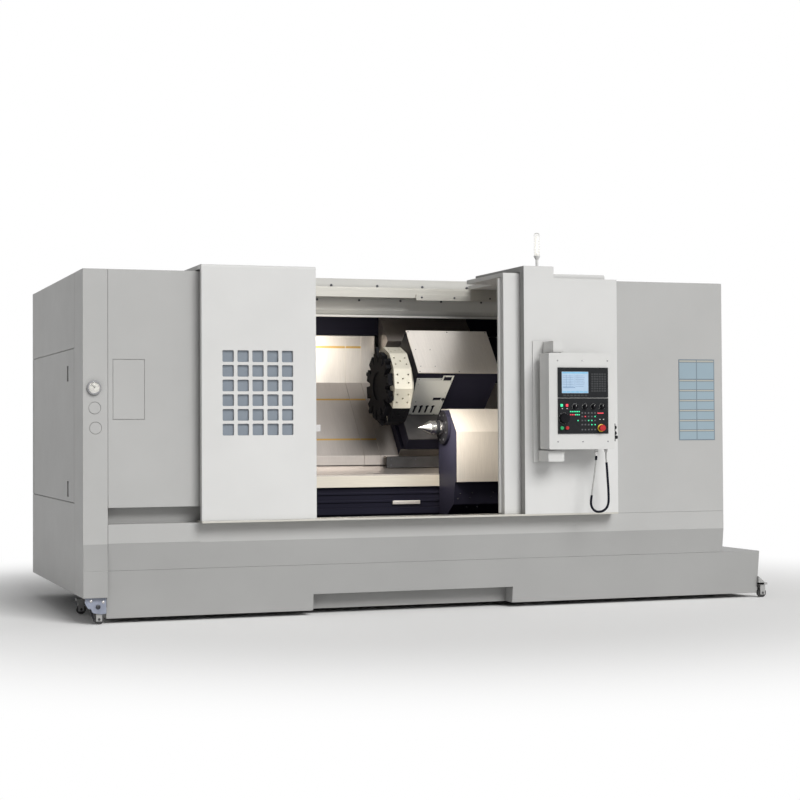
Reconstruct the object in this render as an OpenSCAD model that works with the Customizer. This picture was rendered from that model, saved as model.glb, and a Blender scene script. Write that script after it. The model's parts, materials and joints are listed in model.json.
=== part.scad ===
// CNC turning lathe with a slant bed, sliding front doors and a roll-out coolant tank.
// All lengths are in millimetres. Inside the modules x runs right from the left face,
// y runs back from the front plane and z runs up from the floor.

/* [Body] */
// Length of the sheet-metal body
body_l = 4240; // [4200:10:4400]
// Depth of the body behind the front plane
body_d = 2130; // [2110:10:2300]
// Height of the two cabinets
cabinet_h = 2096; // [2080:1:2110]
// Thickness of the folded panels
panel_t = 25; // [18:1:26]
// Width of the left cabinet
left_w = 1400; // [1390:1:1410]
// Clear width between the left cabinet and the parked right door
opening_w = 1258; // [1240:1:1290]
// Width of the right door that shows beside its housing
reveal_w = 112; // [80:1:120]
// Width of the right door housing
housing_w = 650; // [640:1:680]
// Depth of the housing in front of the front plane
housing_d = 100; // [98:1:110]
// Height of the sill under the doors
sill_h = 588; // [580:1:600]
// Height of the fold below the sill band
fold_h = 472; // [450:1:500]
// Height of the seam between the body and the coolant tank
seam_h = 314; // [305:1:318]
// How far the lower band leans back at the seam
lean = 22; // [10:1:25]
// Height of the lower edge of the side walls
wall_foot = 159; // [150:1:180]
// Width of the corner post at the front left
post_w = 145; // [140:1:150]

/* [Doors] */
// Width of each sliding door
door_w = 710; // [690:1:720]
// Thickness of a door panel
door_t = 40; // [35:1:42]
// Thickness of a door roof
roof_t = 26; // [20:1:30]
// Front face of the left door in front of the front plane
left_door_d = 90; // [88:1:92]
// Front face of the right door in front of the front plane
right_door_d = 30; // [26:1:34]
// Size of one window hole
hole_w = 70; // [60:1:74]
// Columns of window holes
hole_cols = 5; // [4:1:5]
// Rows of window holes
hole_rows = 6; // [4:1:6]
// Side-to-side spacing of the window holes
hole_pitch_x = 92; // [88:1:94]
// Up-and-down spacing of the window holes
hole_pitch_z = 88; // [84:1:92]
// Depth of the roof rail behind the front plane
rail_y = 1000; // [990:1:1005]

/* [Bed and spindle] */
// Slope of the bed
slant = 50; // [49:0.5:51]
// Spindle axis behind the front plane
spindle_y = 720; // [715:1:725]
// Spindle axis above the floor
spindle_z = 1150; // [1145:1:1155]
// Distance from the spindle axis to the bed face
bed_drop = 520; // [515:1:525]
// Distance from the spindle axis to the outer way cover
cover_drop = 400; // [395:1:405]
// Radius of the spindle in its bearings
spindle_r = 120; // [110:1:130]
// Radius of the through hole in the spindle
spindle_bore_r = 45; // [35:1:50]
// Radius of the chuck
chuck_r = 200; // [190:1:210]
// Depth of the chuck body
chuck_l = 150; // [140:1:160]
// Width of a jaw
jaw_w = 44; // [40:1:50]

/* [Turret and tailstock] */
// Corner radius of the turret disc
disc_r = 265; // [250:1:270]
// Width of the turret disc
disc_l = 125; // [110:1:130]
// Stations on the turret disc
stations = 12; // [8:2:12]
// Distance of the turret axis up the slope from the spindle axis
turret_s = 367; // [362:1:375]
// Left face of the saddle
saddle_x = 2340; // [2335:1:2350]
// Length of the saddle along the bed
saddle_l = 560; // [550:1:570]
// Left face of the tailstock
tail_x = 2542; // [2532:1:2552]
// Length of the tailstock
tail_l = 520; // [500:1:540]
// Radius of the tailstock quill
quill_r = 48; // [45:1:55]

/* [Pendant] */
// Left edge of the pendant box right of the housing's left edge
pendant_x = 80; // [75:1:90]
// Width of the pendant box
pendant_w = 450; // [440:1:460]
// Height of the pendant box
pendant_h = 604; // [595:1:615]
// Depth of the pendant box
pendant_d = 140; // [130:1:145]
// Underside of the pendant box above the floor
pendant_z = 1008; // [1000:1:1015]
// Pivot of the pendant right of its left edge
pivot_dx = 83; // [78:1:88]
// Pivot of the pendant in front of the front plane
pivot_dy = 230; // [226:1:235]

/* [Coolant tank] */
// Right end of the tank
tank_end = 4522; // [4500:1:4540]
// Clearance between the tank and the floor
tank_foot = 30; // [25:1:35]
// Depth of the tank
tank_d = 740; // [700:1:750]
// Left end of the toe notch
notch_x = 1419; // [1400:1:1440]
// Width of the toe notch
notch_w = 1325; // [1300:1:1350]
// Height of the toe notch above the floor
notch_h = 131; // [120:1:140]
// Radius of the caster wheels
wheel_r = 30; // [26:1:32]

/* [Hidden] */
$fn = 64;
eps = 0.5;
slide_gap = 0.3;
fit_gap = 0.05;
groove = 3;

// heights of the door parts
track_t = 11.7;
bar_t = 8.7;
door_z = sill_h + track_t + slide_gap;
roof_z = cabinet_h + bar_t + slide_gap;
door_top = roof_z + roof_t;

// places along the machine
right_door_x = left_w + opening_w;
housing_x = right_door_x + reveal_w;
right_x = housing_x + housing_w - 20;
left_door_x = left_w - door_w;
wall_t = 12;
chamber_l = left_w + wall_t;
chamber_r = body_l - 370;

// grid of window holes in the left door
grid_w = (hole_cols - 1) * hole_pitch_x + hole_w;
grid_h = (hole_rows - 1) * hole_pitch_z + hole_w;
grid_x = left_door_x + (door_w - grid_w) / 2 - 9;
grid_z = door_z + 508;

// door roof rail and beam
rail_w = 60;
beam_y = rail_y + rail_w;
beam_d = 120;
beam_top = cabinet_h + 69;
beam_low = cabinet_h - 186;
beam_step = 70;
rail_low = cabinet_h - 59;
bar_w = 40;

// base and bed
base_x = 300;
base_end = body_l - 300;
base_y = 800;
base_back = body_d - 90;
base_low = 60;
base_h = 560;
sill_d = 125;
shelf_low = seam_h + 8;
shelf_top = 400;
bed_front = 860;
ledge_z = 830;
bed_top_s = 780;
way_w = 55;
way_h = 50;
tail_way_t = 25;

// way covers
cover_t = 5;
nest = 5.6;
cover_s0 = 89;
cover_s1 = 754;
cover_lip = 63;
cover_back = 330;
fixed_end = chamber_l + 388;
outer_l = 130;
middle_l = 140;
inner_l = 390;
middle_x = saddle_x - outer_l - 114;
inner_x = middle_x - 350;
upright_end = saddle_x - 31;

// saddle and turret
saddle_n = bed_drop - way_h - slide_gap;
saddle_top = 330;
saddle_s0 = 95;
saddle_s1 = 750;
slideway_h = 30;
slideway_w = 70;
slide_n = saddle_top - slideway_h - slide_gap;
slide_h = 100;
slide_s0 = 60;
slide_s1 = 640;
house_n = slide_n - slide_h;
house_top = 230;
house_x = saddle_x + 15;
house_l = 590;
house_s0 = turret_s - 81;
house_s1 = turret_s + 300;
neck_l = 52;
neck_r = 150;
disc_x = house_x - neck_l - disc_l;
clamp_t = 34;
turret_shaft_r = 70;
plate_t = 6;

// spindle parts
head_x = 560;
spindle_tail = 420;
head_end = left_w - 5;
nose_r = 165;
nose_end = chamber_l + 8;
jaw_turn = 90;
jaw_depth = 40;
jaw_out = 70;
jaw_in_r = 62;
jaw_len = 118;

// tailstock parts
tail_front = 500;
tail_fold = 1121;
tail_top = 1273;
tail_skirt = 786;
tail_back = bed_front - tail_way_t - slide_gap;
flange_r = 112;
flange_l = 20;
quill_tip = tail_x - 77;
centre_r = 46;
taper_r = 25;
taper_l = 150;

// pendant parts
pendant_left = housing_x + pendant_x;
pendant_front = -pivot_dy - pendant_d / 2;
pendant_wall = 4;
pivot_x = pendant_left + pivot_dx;
pivot_r = 12;
hub_r = 30;
hub_h = 6;
plate_proud = 6;
plate_y = pendant_front - plate_proud;
screen_x = pendant_left + 59;
screen_w = 345;
screen_z = pendant_z + 325;
screen_h = 187;
panel_z = pendant_z + 98;
panel_h = 221;
knob_xs = [174, 243, 301, 360];
knob_z = pendant_z + 267;
knob_r = 13;
knob_h = 20;
stem_r = 5;
stem_in = 12;
dial_at = [pendant_left + 98, pendant_z + 194];
dial_r = 31;
dial_h = 24;
start_at = [pendant_left + 80, pendant_z + 134];
hold_at = [pendant_left + 116, pendant_z + 134];
lamp_ats = [[pendant_left + 81, pendant_z + 275], [pendant_left + 117, pendant_z + 275]];
button_r = 11;
button_h = 10;
button_lift = 4.3;
button_stem_r = 7;
stop_at = [pendant_left + 352, pendant_z + 133];
stop_r = 20;
stop_h = 16;
stop_lift = 14;
stop_stem_r = 10;
ring_r = 24;
ring_h = 4;
gland_xs = [354, 422];
gland_r = 11;
gland_h = 18;

// cable loop between the two glands, from the pendant's lower left corner to the right and down
cable_r = 5;
cable_y = -pivot_dy;
cable_end = gland_h + 0.7;
cable_route = [
    [354, 45], [351, 80], [346, 120], [340, 165], [333, 210], [326, 255], [319, 300], [315, 333], [317, 355],
    [325, 374], [339, 388], [357, 396], [377, 397], [396, 393], [413, 383], [427, 368], [435, 348],
    [438, 325], [438, 285], [436, 240], [433, 195], [430, 150], [427, 105], [424, 70], [422, 45]
];
cable_path = [
    [gland_xs[0], 0, -cable_end],
    for (at = cable_route) [at[0], 0, -at[1]],
    [gland_xs[1], 0, -cable_end]
];

// tank parts
tank_x = post_w + 1;
tank_top = seam_h - 0.8;
tank_front = lean + 1;
bracket_r = 2 * wheel_r + 6;
axle_z = wheel_r;
axle_r = 8;
wheel_w = 24;
cheek_top = 2 * wheel_r + 26;
wheel_y = [60, 700];
left_wheel_x = tank_x - 46;
right_wheel_x = tank_end + wheel_r + 3;

// signal lamp
lamp_x = housing_x + 180;
lamp_y = 100;
bridge_w = 207;
bridge_d = 720;
bridge_step = 136;
bridge_z = door_top + 5;
bridge_top = bridge_z + 35;

// side door
side_y0 = 340;
side_y1 = body_d - 50;
side_z0 = 705;
side_z1 = 1640;
grip_y = 535;
grip_w = 60;
grip_h = 95;
grip_z = [736, 1446];
hinge_y = side_y1 - 15;
hinge_pin_r = 6;
hinge_pin_l = 15;

// gauge and inspection hatch on the front of the left cabinet
gauge_at = [64, 1394];
hatch_x = [175, 366];
hatch_z = [1205, 1563];
knock_ats = [[69, 1274], [74, 1156]];

// origin of the part: the middle of its footprint
stop_front = plate_y - stop_lift - stop_h;
origin_x = (tank_end + bracket_r) / 2;
origin_y = (body_d + stop_front) / 2;

// moves the machine's own coordinates to the origin of the part
module place() {
    translate([-origin_x, -origin_y, 0]) children();
}

// box between two corners
module block(x, y, z) {
    translate([x[0], y[0], z[0]]) cube([x[1] - x[0], y[1] - y[0], z[1] - z[0]]);
}

// outline in y and z, drawn out along x
module along_x(x0, x1) {
    translate([x0, 0, 0]) rotate([90, 0, 90]) linear_extrude(x1 - x0) children();
}

module rod_x(x0, x1, y, z, r) {
    translate([x0, y, z]) rotate([0, 90, 0]) cylinder(h = x1 - x0, r = r);
}

module rod_y(y0, y1, x, z, r) {
    translate([x, y0, z]) rotate([-90, 0, 0]) cylinder(h = y1 - y0, r = r);
}

module rod_z(z0, z1, x, y, r) {
    translate([x, y, z0]) cylinder(h = z1 - z0, r = r);
}

// frame of the slope: y runs up the slope and z stands off it, from the spindle axis
module on_slant() {
    translate([0, spindle_y, spindle_z]) rotate([slant, 0, 0]) children();
}

function slant_pt(s, n) = [
    spindle_y + s * cos(slant) - n * sin(slant),
    spindle_z + s * sin(slant) + n * cos(slant)
];

// how far up the slope the face at depth n stands at height z
function slope_at(z, n) = (z - spindle_z - n * cos(slant)) / sin(slant);

// rectangle with round corners from the origin
module round_rect(w, h, r) {
    translate([r, 0]) square([w - 2 * r, h]);
    translate([0, r]) square([w, h - 2 * r]);
    for (x = [r, w - r], y = [r, h - r]) translate([x, y]) circle(r);
}

// rounded plate in the front plane, from y0 back to y1
module front_plate(x, z, w, h, r, y0, y1) {
    translate([x, y1, z]) rotate([90, 0, 0]) linear_extrude(y1 - y0) round_rect(w, h, r);
}

// cast base with end lugs, a shelf over the tank and the block under the bed
module base_casting() {
    lug_l = 100;
    lug_h = 40;
    lug_hole_r = 14;
    color("dimgray") difference() {
        union() {
            along_x(base_x, base_end) polygon([
                [base_y, base_low], [base_back, base_low], [base_back, base_h], [base_y, base_h],
                [base_y, shelf_top], [lean + 18, shelf_top], [lean + 18, shelf_low], [base_y, shelf_low]
            ]);
            for (x = [base_x - lug_l, base_end])
                block([x, x + lug_l], [base_y, base_back], [base_low, base_low + lug_h]);
        }
        for (x = [base_x - lug_l / 2, base_end + lug_l / 2], y = [base_y + 100, base_back - 100])
            rod_z(base_low - 1, base_low + lug_h + 1, x, y, lug_hole_r);
    }
}

// slant bed with its front ledge
module slant_bed() {
    top = slant_pt(bed_top_s, -bed_drop);
    foot_s = slope_at(ledge_z, -bed_drop);
    color("midnightblue") along_x(base_x + 20, base_end - 20) polygon([
        [bed_front, base_h], [bed_front, ledge_z], slant_pt(foot_s, -bed_drop), top,
        [top[0] + 140, top[1]], [base_back - 50, top[1] - 400], [base_back - 50, base_h]
    ]);
}

// sheet guard that sheds chips from the way covers over the bed's ledge
module bed_guard() {
    cover_foot = slant_pt(cover_s0, -cover_drop);
    heel = [cover_foot[0] + cover_t + 3 * nest + 2, cover_foot[1] - cover_lip];
    color("silver") along_x(chamber_l, chamber_r) polygon([
        [bed_front + 4, ledge_z], [bed_front + 60, ledge_z], [heel[0], heel[1] - 8],
        [heel[0], heel[1] - 2], [bed_front + 40, ledge_z + 8], [bed_front + 4, ledge_z + 8]
    ]);
}

// hardened ways: two rails for the saddle, two strips for the tailstock
module guideways() {
    upper_h = 75;
    lower_h = 40;
    color("lightgray") {
        for (s = [180, 640])
            on_slant() block([chamber_l + 20, chamber_r - 20], [s, s + way_w],
                [fit_gap - bed_drop, way_h - bed_drop]);
        for (z = [[base_h + 15, base_h + 15 + lower_h], [ledge_z - upper_h, ledge_z]])
            block([chamber_l + 88, chamber_r - 10], [bed_front - tail_way_t, bed_front], z);
    }
}

// sheet trough that carries chips and coolant down to the tank
module chip_trough() {
    t = 8;
    back = base_y - 1;
    color("midnightblue") along_x(chamber_l, chamber_r) polygon([
        [sill_d, sill_h], [sill_d, sill_h - 12], [190, shelf_top], [back - 70, shelf_top],
        [back, shelf_top + 70], [back, shelf_top + 82], [back - 74, shelf_top + t],
        [196, shelf_top + t], [135, sill_h]
    ]);
}

// folded front below the doors: light band, leaning lower band and sill flange
module front_skirt() {
    t = 12;
    color("darkgray") {
        along_x(post_w + 2, body_l) polygon([
            [0, sill_h], [0, fold_h], [lean, seam_h], [lean + t, seam_h], [t, fold_h],
            [t, sill_h - t], [sill_d, sill_h - t], [sill_d, sill_h]
        ]);
        // plate that closes the right end
        along_x(body_l - t, body_l) polygon([
            [0, sill_h], [0, fold_h], [lean, seam_h], [sill_d, seam_h], [sill_d, sill_h]
        ]);
    }
}

// round pads on threaded studs
module levelling_feet() {
    color("gray") for (i = [0 : 3], y = [base_y + 50, base_back - 70]) {
        x = base_x + 60 + i * (base_end - base_x - 120) / 3;
        rod_z(0, 30, x, y, 60);
        rod_z(30, base_low, x, y, 18);
    }
}

// left cabinet: corner post, front panel over its recess, side wall, roof and back
module left_cabinet() {
    recess_d = 100;
    recess_top = 686;
    knock_r = 37;
    color("silver") difference() {
        union() {
            block([0, panel_t], [0, body_d], [wall_foot, cabinet_h]);
            block([0, post_w], [0, panel_t], [wall_foot, cabinet_h]);
            block([0, left_w], [0, panel_t], [recess_top, cabinet_h]);
            block([0, left_w], [body_d - panel_t, body_d], [wall_foot, cabinet_h]);
            block([0, left_w], [0, body_d], [cabinet_h - panel_t, cabinet_h]);
            block([0, left_w], [recess_d, recess_d + panel_t], [sill_h, recess_top + panel_t]);
            block([0, left_w], [0, recess_d + panel_t], [recess_top, recess_top + panel_t]);
            block([post_w - panel_t, post_w], [0, recess_d + panel_t], [sill_h, recess_top + panel_t]);
        }
        // doorway in the side wall
        block([-1, panel_t + 1], [side_y0, side_y1], [side_z0, side_z1]);
        // seams beside the corner post, on the front and on the side
        block([post_w, post_w + groove], [-1, groove], [recess_top - 1, cabinet_h + 1]);
        block([-1, groove], [300, 300 + groove], [wall_foot - 1, cabinet_h + 1]);
        block([-1, groove], [300, body_d + 1], [side_z1, side_z1 + groove]);
        block([-1, groove], [300, body_d + 1], [side_z0 - groove, side_z0]);
        // outline of the inspection hatch
        hatch_outline(hatch_x, hatch_z);
        // two blank knock-outs below the gauge
        for (at = knock_ats) ring_groove(at, knock_r);
        // sockets for the side door's pins
        for (z = [side_z0 - hinge_pin_l, side_z1 - 1])
            rod_z(z, z + hinge_pin_l + 1, panel_t / 2, hinge_y, hinge_pin_r + fit_gap);
    }
}

module hatch_outline(x, z) {
    difference() {
        block(x, [-1, groove], z);
        block([x[0] + groove, x[1] - groove], [-2, groove + 1], [z[0] + groove, z[1] - groove]);
    }
}

module ring_groove(at, r) {
    difference() {
        rod_y(-1, groove, at[0], at[1], r);
        rod_y(-2, groove + 1, at[0], at[1], r - groove);
    }
}

// round pressure gauge on the corner post
module pressure_gauge() {
    color("gainsboro") difference() {
        union() {
            rod_y(-14, 0, gauge_at[0], gauge_at[1], 42);
            rod_y(-22, -14, gauge_at[0], gauge_at[1], 38);
        }
        rod_y(-23, -16, gauge_at[0], gauge_at[1], 33);
    }
}

// right cabinet, open underneath where the tank rolls through
module right_cabinet() {
    color("silver") {
        block([right_x, body_l], [0, panel_t], [sill_h, cabinet_h]);
        block([body_l - panel_t, body_l], [0, body_d], [sill_h, cabinet_h]);
        block([body_l - panel_t, body_l], [sill_d, body_d], [seam_h, cabinet_h]);
        block([body_l - panel_t, body_l], [tank_front + tank_d + 10, body_d], [wall_foot, cabinet_h]);
        block([right_x, body_l], [body_d - panel_t, body_d], [wall_foot, cabinet_h]);
        block([right_x, body_l], [0, body_d], [cabinet_h - panel_t, cabinet_h]);
    }
}

// light housing that the right door slides behind, with its bridge to the beam
module right_housing() {
    front = -housing_d;
    foot = sill_h + track_t;
    color("whitesmoke") {
        block([housing_x, housing_x + housing_w], [front, front + panel_t], [foot, cabinet_h]);
        block([housing_x + housing_w - panel_t, housing_x + housing_w], [front, 0], [foot, cabinet_h]);
        block([housing_x, housing_x + 6], [front, -right_door_d - 6], [foot, bridge_top]);
        block([housing_x, housing_x + bridge_w], [front, front + panel_t], [foot, bridge_top]);
        block([housing_x, housing_x + bridge_w], [front, bridge_d], [bridge_z, bridge_top]);
        block([housing_x + bridge_step, housing_x + bridge_w], [bridge_d - 1, beam_y], [bridge_z, bridge_top]);
    }
}

// folded rear cover: back wall and roof behind the beam
module rear_cover() {
    seams = 3;
    color("silver") difference() {
        union() {
            block([left_w, right_x], [body_d - panel_t, body_d], [wall_foot, cabinet_h]);
            block([left_w, right_x], [beam_y + beam_d, body_d], [cabinet_h - panel_t, cabinet_h]);
        }
        for (i = [1 : seams]) {
            x = left_w + i * (right_x - left_w) / (seams + 1);
            block([x, x + groove], [body_d - groove, body_d + 1], [wall_foot - 1, cabinet_h + 1]);
        }
    }
}

// beam over the work space, its lower part set back to clear the turret
module top_beam() {
    y0 = beam_y + beam_step;
    y1 = beam_y + beam_d;
    color("gainsboro") along_x(left_w, right_x) polygon([
        [beam_y, beam_top], [beam_y, rail_low], [y0, rail_low], [y0, beam_low + 47],
        [y0 + 25, beam_low + 14], [y0, beam_low + 14], [y0, beam_low], [y0 + 40, beam_low],
        [y1, beam_low + 47], [y1, beam_top]
    ]);
}

// roof rail on the beam and lower track on the sill
module door_rails() {
    bar_y = rail_y + 5;
    color("beige") {
        block([left_w, right_x], [rail_y, beam_y], [rail_low, cabinet_h]);
        block([left_door_x, right_x], [bar_y, bar_y + bar_w], [cabinet_h, cabinet_h + bar_t]);
        // stop bar in front of the rail
        block([right_door_x - 218, right_x], [rail_y - 12, rail_y + 1], [cabinet_h - 75, cabinet_h - 34]);
        block([left_door_x, right_x], [-housing_d, 60], [sill_h, sill_h + track_t]);
        block([right_x - 1, housing_x + housing_w], [-housing_d, 0], [sill_h, sill_h + track_t]);
    }
}

// inner walls of the work space: left with the spindle hole, right, and upper back
module chamber_walls() {
    color("midnightblue") {
        difference() {
            along_x(left_w, chamber_l) chamber_outline();
            rod_x(left_w - 1, chamber_l + 1, spindle_y, spindle_z, nose_r + 7);
        }
        along_x(chamber_r, chamber_r + wall_t) chamber_outline();
        // the strip above the way covers
        fold = slant_pt(cover_s1, -cover_drop);
        strip_z = fold[1] + cover_back + 6;
        block([chamber_l, chamber_r], [fold[0] + 4, fold[0] + 4 + wall_t], [strip_z, strip_z + 234]);
    }
}

module chamber_outline() {
    front = panel_t + 5;
    foot = sill_h + track_t;
    back = slant_pt(cover_s1, -cover_drop)[0] + 4;
    top = cabinet_h - panel_t;
    beam_back = beam_y + beam_d + 1;
    low_s = slope_at(ledge_z + 2, 2 - bed_drop);
    high_s = (back - spindle_y - (bed_drop - 2) * sin(slant)) / cos(slant);
    polygon([
        [front, foot], [bed_front - 2, foot], [bed_front - 2, ledge_z + 2],
        slant_pt(low_s, 2 - bed_drop), slant_pt(high_s, 2 - bed_drop), [back, top],
        [beam_back, top], [beam_back, beam_low - 1], [rail_y - 1, beam_low - 1], [rail_y - 1, top],
        [front, top]
    ]);
}

// headstock casting with the spindle bore
module headstock() {
    foot_s = slope_at(ledge_z, -bed_drop);
    heel = slant_pt(430, -bed_drop);
    color("midnightblue") difference() {
        along_x(head_x, head_end) polygon([
            [470, ledge_z], slant_pt(foot_s, -bed_drop), heel, [heel[0], spindle_z + 250],
            [heel[0] - 150, spindle_z + 400], [600, spindle_z + 400], [470, spindle_z + 250]
        ]);
        rod_x(head_x - 1, head_end + 1, spindle_y, spindle_z, spindle_r + fit_gap);
    }
}

// hollow-shaft motor on the rear of the headstock
module spindle_motor() {
    motor_l = 320;
    motor_r = 210;
    x0 = head_x - motor_l;
    color("dimgray") difference() {
        union() {
            rod_x(x0, head_x, spindle_y, spindle_z, motor_r);
            for (i = [0 : 15]) rotate_about_spindle(i * 22.5)
                block([x0 + 30, head_x - 40], [-6, 6], [motor_r - 10, motor_r + 22]);
        }
        rod_x(x0 - 1, head_x + 1, spindle_y, spindle_z, spindle_r + fit_gap);
    }
}

module rotate_about_spindle(angle) {
    translate([0, spindle_y, spindle_z]) rotate([angle, 0, 0]) children();
}

// hollow spindle with its nose flange and the chuck cylinder on its tail
module spindle() {
    tail = head_x - spindle_tail;
    color("silver") translate([0, spindle_y, spindle_z]) rotate([90, 0, 90]) rotate_extrude() polygon([
        [spindle_bore_r, tail], [spindle_r + 20, tail], [spindle_r + 20, tail + 90], [spindle_r, tail + 95],
        [spindle_r, left_w + 2], [nose_r, left_w + 6], [nose_r, nose_end], [spindle_bore_r, nose_end]
    ]);
}

// three-jaw chuck body with radial slots
module chuck_body() {
    x1 = nose_end + chuck_l;
    color("lightgray") difference() {
        translate([0, spindle_y, spindle_z]) rotate([90, 0, 90]) rotate_extrude() polygon([
            [spindle_bore_r, nose_end], [chuck_r - 8, nose_end], [chuck_r, nose_end + 8],
            [chuck_r, x1 - 12], [chuck_r - 12, x1], [spindle_bore_r, x1]
        ]);
        for (i = [0 : 2]) rotate_about_spindle(i * 120 + jaw_turn)
            block([x1 - jaw_depth, x1 + 1], [-jaw_w / 2, jaw_w / 2], [0, chuck_r + 1]);
    }
}

// one stepped jaw in its slot
module jaw(i) {
    face = nose_end + chuck_l;
    seat = face - jaw_depth + slide_gap;
    tip = face + jaw_out;
    half = jaw_w / 2 - slide_gap;
    color("gray") rotate_about_spindle(i * 120 + jaw_turn) translate([0, half, 0]) rotate([90, 0, 0])
        linear_extrude(2 * half) polygon([
            [seat, jaw_in_r], [tip, jaw_in_r], [tip, jaw_in_r + 40], [tip - 28, jaw_in_r + 40],
            [tip - 28, jaw_in_r + 80], [face + 8, jaw_in_r + 80], [face + 8, jaw_in_r + jaw_len],
            [seat, jaw_in_r + jaw_len]
        ]);
}

module jaw_1() { jaw(0); }
module jaw_2() { jaw(1); }
module jaw_3() { jaw(2); }

// one telescopic cover over the ways: lip, slope and upright back; level 0 is outermost
module way_cover(x0, x1, level) {
    foot = slant_pt(cover_s0, -cover_drop);
    fold = slant_pt(cover_s1, -cover_drop);
    line = [[foot[0], foot[1] - cover_lip], foot, fold, [fold[0], fold[1] + cover_back]];
    along_x(x0, x1) translate([level * nest, 0])
        polygon([for (p = line) p, for (i = [3 : -1 : 0]) line[i] + [cover_t, 0]]);
}

module way_cover_fixed() { color("silver") way_cover(chamber_l, fixed_end, 3); }
module way_cover_inner() { color("silver") way_cover(inner_x, inner_x + inner_l, 2); }
module way_cover_middle() { color("silver") way_cover(middle_x, middle_x + middle_l, 1); }

// outer cover on the saddle, with the apron under it and the stepped cover above the cross ways
module way_cover_outer() {
    fold = slant_pt(cover_s1, -cover_drop);
    color("silver") {
        difference() {
            way_cover(saddle_x - outer_l, saddle_x, 0);
            block([upright_end, saddle_x + 1], [fold[0] - 1, fold[0] + cover_t + 1],
                [fold[1] + 10, fold[1] + cover_back + 1]);
        }
        saddle_apron();
        cross_way_cover(fold[0] - 3);
    }
}

// folded sheet under the saddle's lower end
module saddle_apron() {
    foot = slant_pt(cover_s0, -cover_drop);
    front = foot[0] - 64;
    low = foot[1] - cover_lip - 20;
    top = foot[1] - 8;
    seat = saddle_s0 - fit_gap;
    along_x(saddle_x - 110, saddle_x + saddle_l) polygon([
        [front, low], [front + 6, low], [front + 6, top - 9], [foot[0] + 1, top - 4], [foot[0] + 1, top + 3],
        [front, top]
    ]);
    along_x(saddle_x, saddle_x + saddle_l) polygon([
        [front + 6, top - 9], slant_pt(seat, -saddle_top - 94), slant_pt(seat, -saddle_top - 10),
        slant_pt(seat - 6, -saddle_top - 10), slant_pt(seat - 6, -saddle_top - 78), [front + 6, top]
    ]);
}

// telescopic cover at the top of the cross ways: three steps on a column that stands on the saddle
module cross_way_cover(back) {
    steps = 3;
    step_l = 78;
    step_t = 7;
    s0 = 845;
    n0 = -60;
    s1 = s0 + steps * step_l;
    top = slant_pt(s1, n0 - (steps - 1) * step_t)[1];
    heel = slant_pt(s0, n0 - 90);
    seat = saddle_s1 + fit_gap;
    along_x(saddle_x, saddle_x + saddle_l + 90) polygon([
        for (i = [0 : steps - 1], s = [i, i + 1]) slant_pt(s0 + s * step_l, n0 - i * step_t),
        [back, top], [back, heel[1]], heel
    ]);
    along_x(saddle_x, saddle_x + saddle_l) polygon([
        slant_pt(seat, -saddle_top - 35), slant_pt(seat, -saddle_top - 67), [back, heel[1] + 60],
        [back - 26, heel[1] + 60]
    ]);
}

// one trailing cover on the right of the saddle
module way_cover_right() {
    color("silver") way_cover(saddle_x + saddle_l, chamber_r - 110, 0);
}

// saddle on the two rails, with the ways of the cross slide
module saddle() {
    inset = 60;
    span = [saddle_s0, saddle_s1];
    color("midnightblue") on_slant() {
        block([saddle_x, saddle_x + saddle_l], span, [-saddle_n, -saddle_top]);
        for (x = [saddle_x + inset, saddle_x + saddle_l - inset - slideway_w])
            block([x, x + slideway_w], span, [-saddle_top - 1, slideway_h - saddle_top]);
    }
}

// slide that carries the turret up and down the slope
module cross_slide() {
    color("midnightblue") on_slant()
        block([saddle_x + 10, saddle_x + saddle_l - 10], [slide_s0, slide_s1], [-slide_n, -house_n]);
}

// turret gear housing with the bore for the disc's shaft
module turret_housing() {
    color("midnightblue") difference() {
        on_slant() block([house_x, house_x + house_l], [house_s0, house_s1], [-house_n, house_top]);
        on_slant() rod_x(house_x - 1, house_x + 140, turret_s, 0, turret_shaft_r + fit_gap);
    }
}

// brushed sheets over the front of the turret housing and over the lower end of its slide
module turret_cover() {
    color("silver") on_slant() {
        block([house_x, house_x + house_l], [house_s0 - plate_t, house_s1], [house_top, house_top + plate_t]);
        block([saddle_x + 10, saddle_x + saddle_l - 10], [slide_s0, house_s0 - plate_t - 4],
            [fit_gap - house_n, plate_t - house_n]);
    }
}

// white connection plate with a tab, two windows, a socket hole and a row of keyholes
module service_plate() {
    low = 6 - house_n;
    key_x = 72;
    key_pitch = 43;
    color("white") on_slant() translate([house_x, house_s0, 0]) rotate([90, 0, 0]) linear_extrude(plate_t)
        difference() {
            polygon([[6, 176], [190, 176], [190, 204], [266, 204], [262, low], [45, low]]);
            translate([198, 154]) square([58, 40]);
            translate([177, -49]) square([60, 32]);
            translate([250, -33]) circle(9);
            for (at = [[250, 33], [252, -115], [30, 120]]) translate(at) circle(4);
            translate([40, 162]) square([140, 5]);
            for (i = [0 : 3]) translate([key_x + i * key_pitch, 0]) {
                translate([0, -110]) circle(13);
                translate([-8, -180]) square([16, 70]);
            }
        }
}

// turret disc: flats with five bolt holes each, a neck and a shaft in the housing
module turret_disc() {
    step = 360 / stations;
    bolt_r = 6;
    side = 28;
    color("gray") on_slant() translate([0, turret_s, 0]) difference() {
        union() {
            translate([disc_x, 0, 0]) rotate([0, 90, 0]) rotate([0, 0, step / 2])
                cylinder(h = disc_l, r = disc_r, $fn = stations);
            rod_x(disc_x - clamp_t + 8, disc_x + 1, 0, 0, 92);
            rod_x(disc_x + disc_l - 1, house_x - 2, 0, 0, neck_r);
            rod_x(house_x - 3, house_x + 120, 0, 0, turret_shaft_r);
        }
        for (i = [0 : stations - 1]) rotate([i * step, 0, 0])
            for (at = [[24, side], [24, -side], [62, 0], [100, side], [100, -side]])
                rod_z(disc_r - 34, disc_r + 1, disc_x + at[0], at[1], bolt_r);
    }
}

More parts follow.
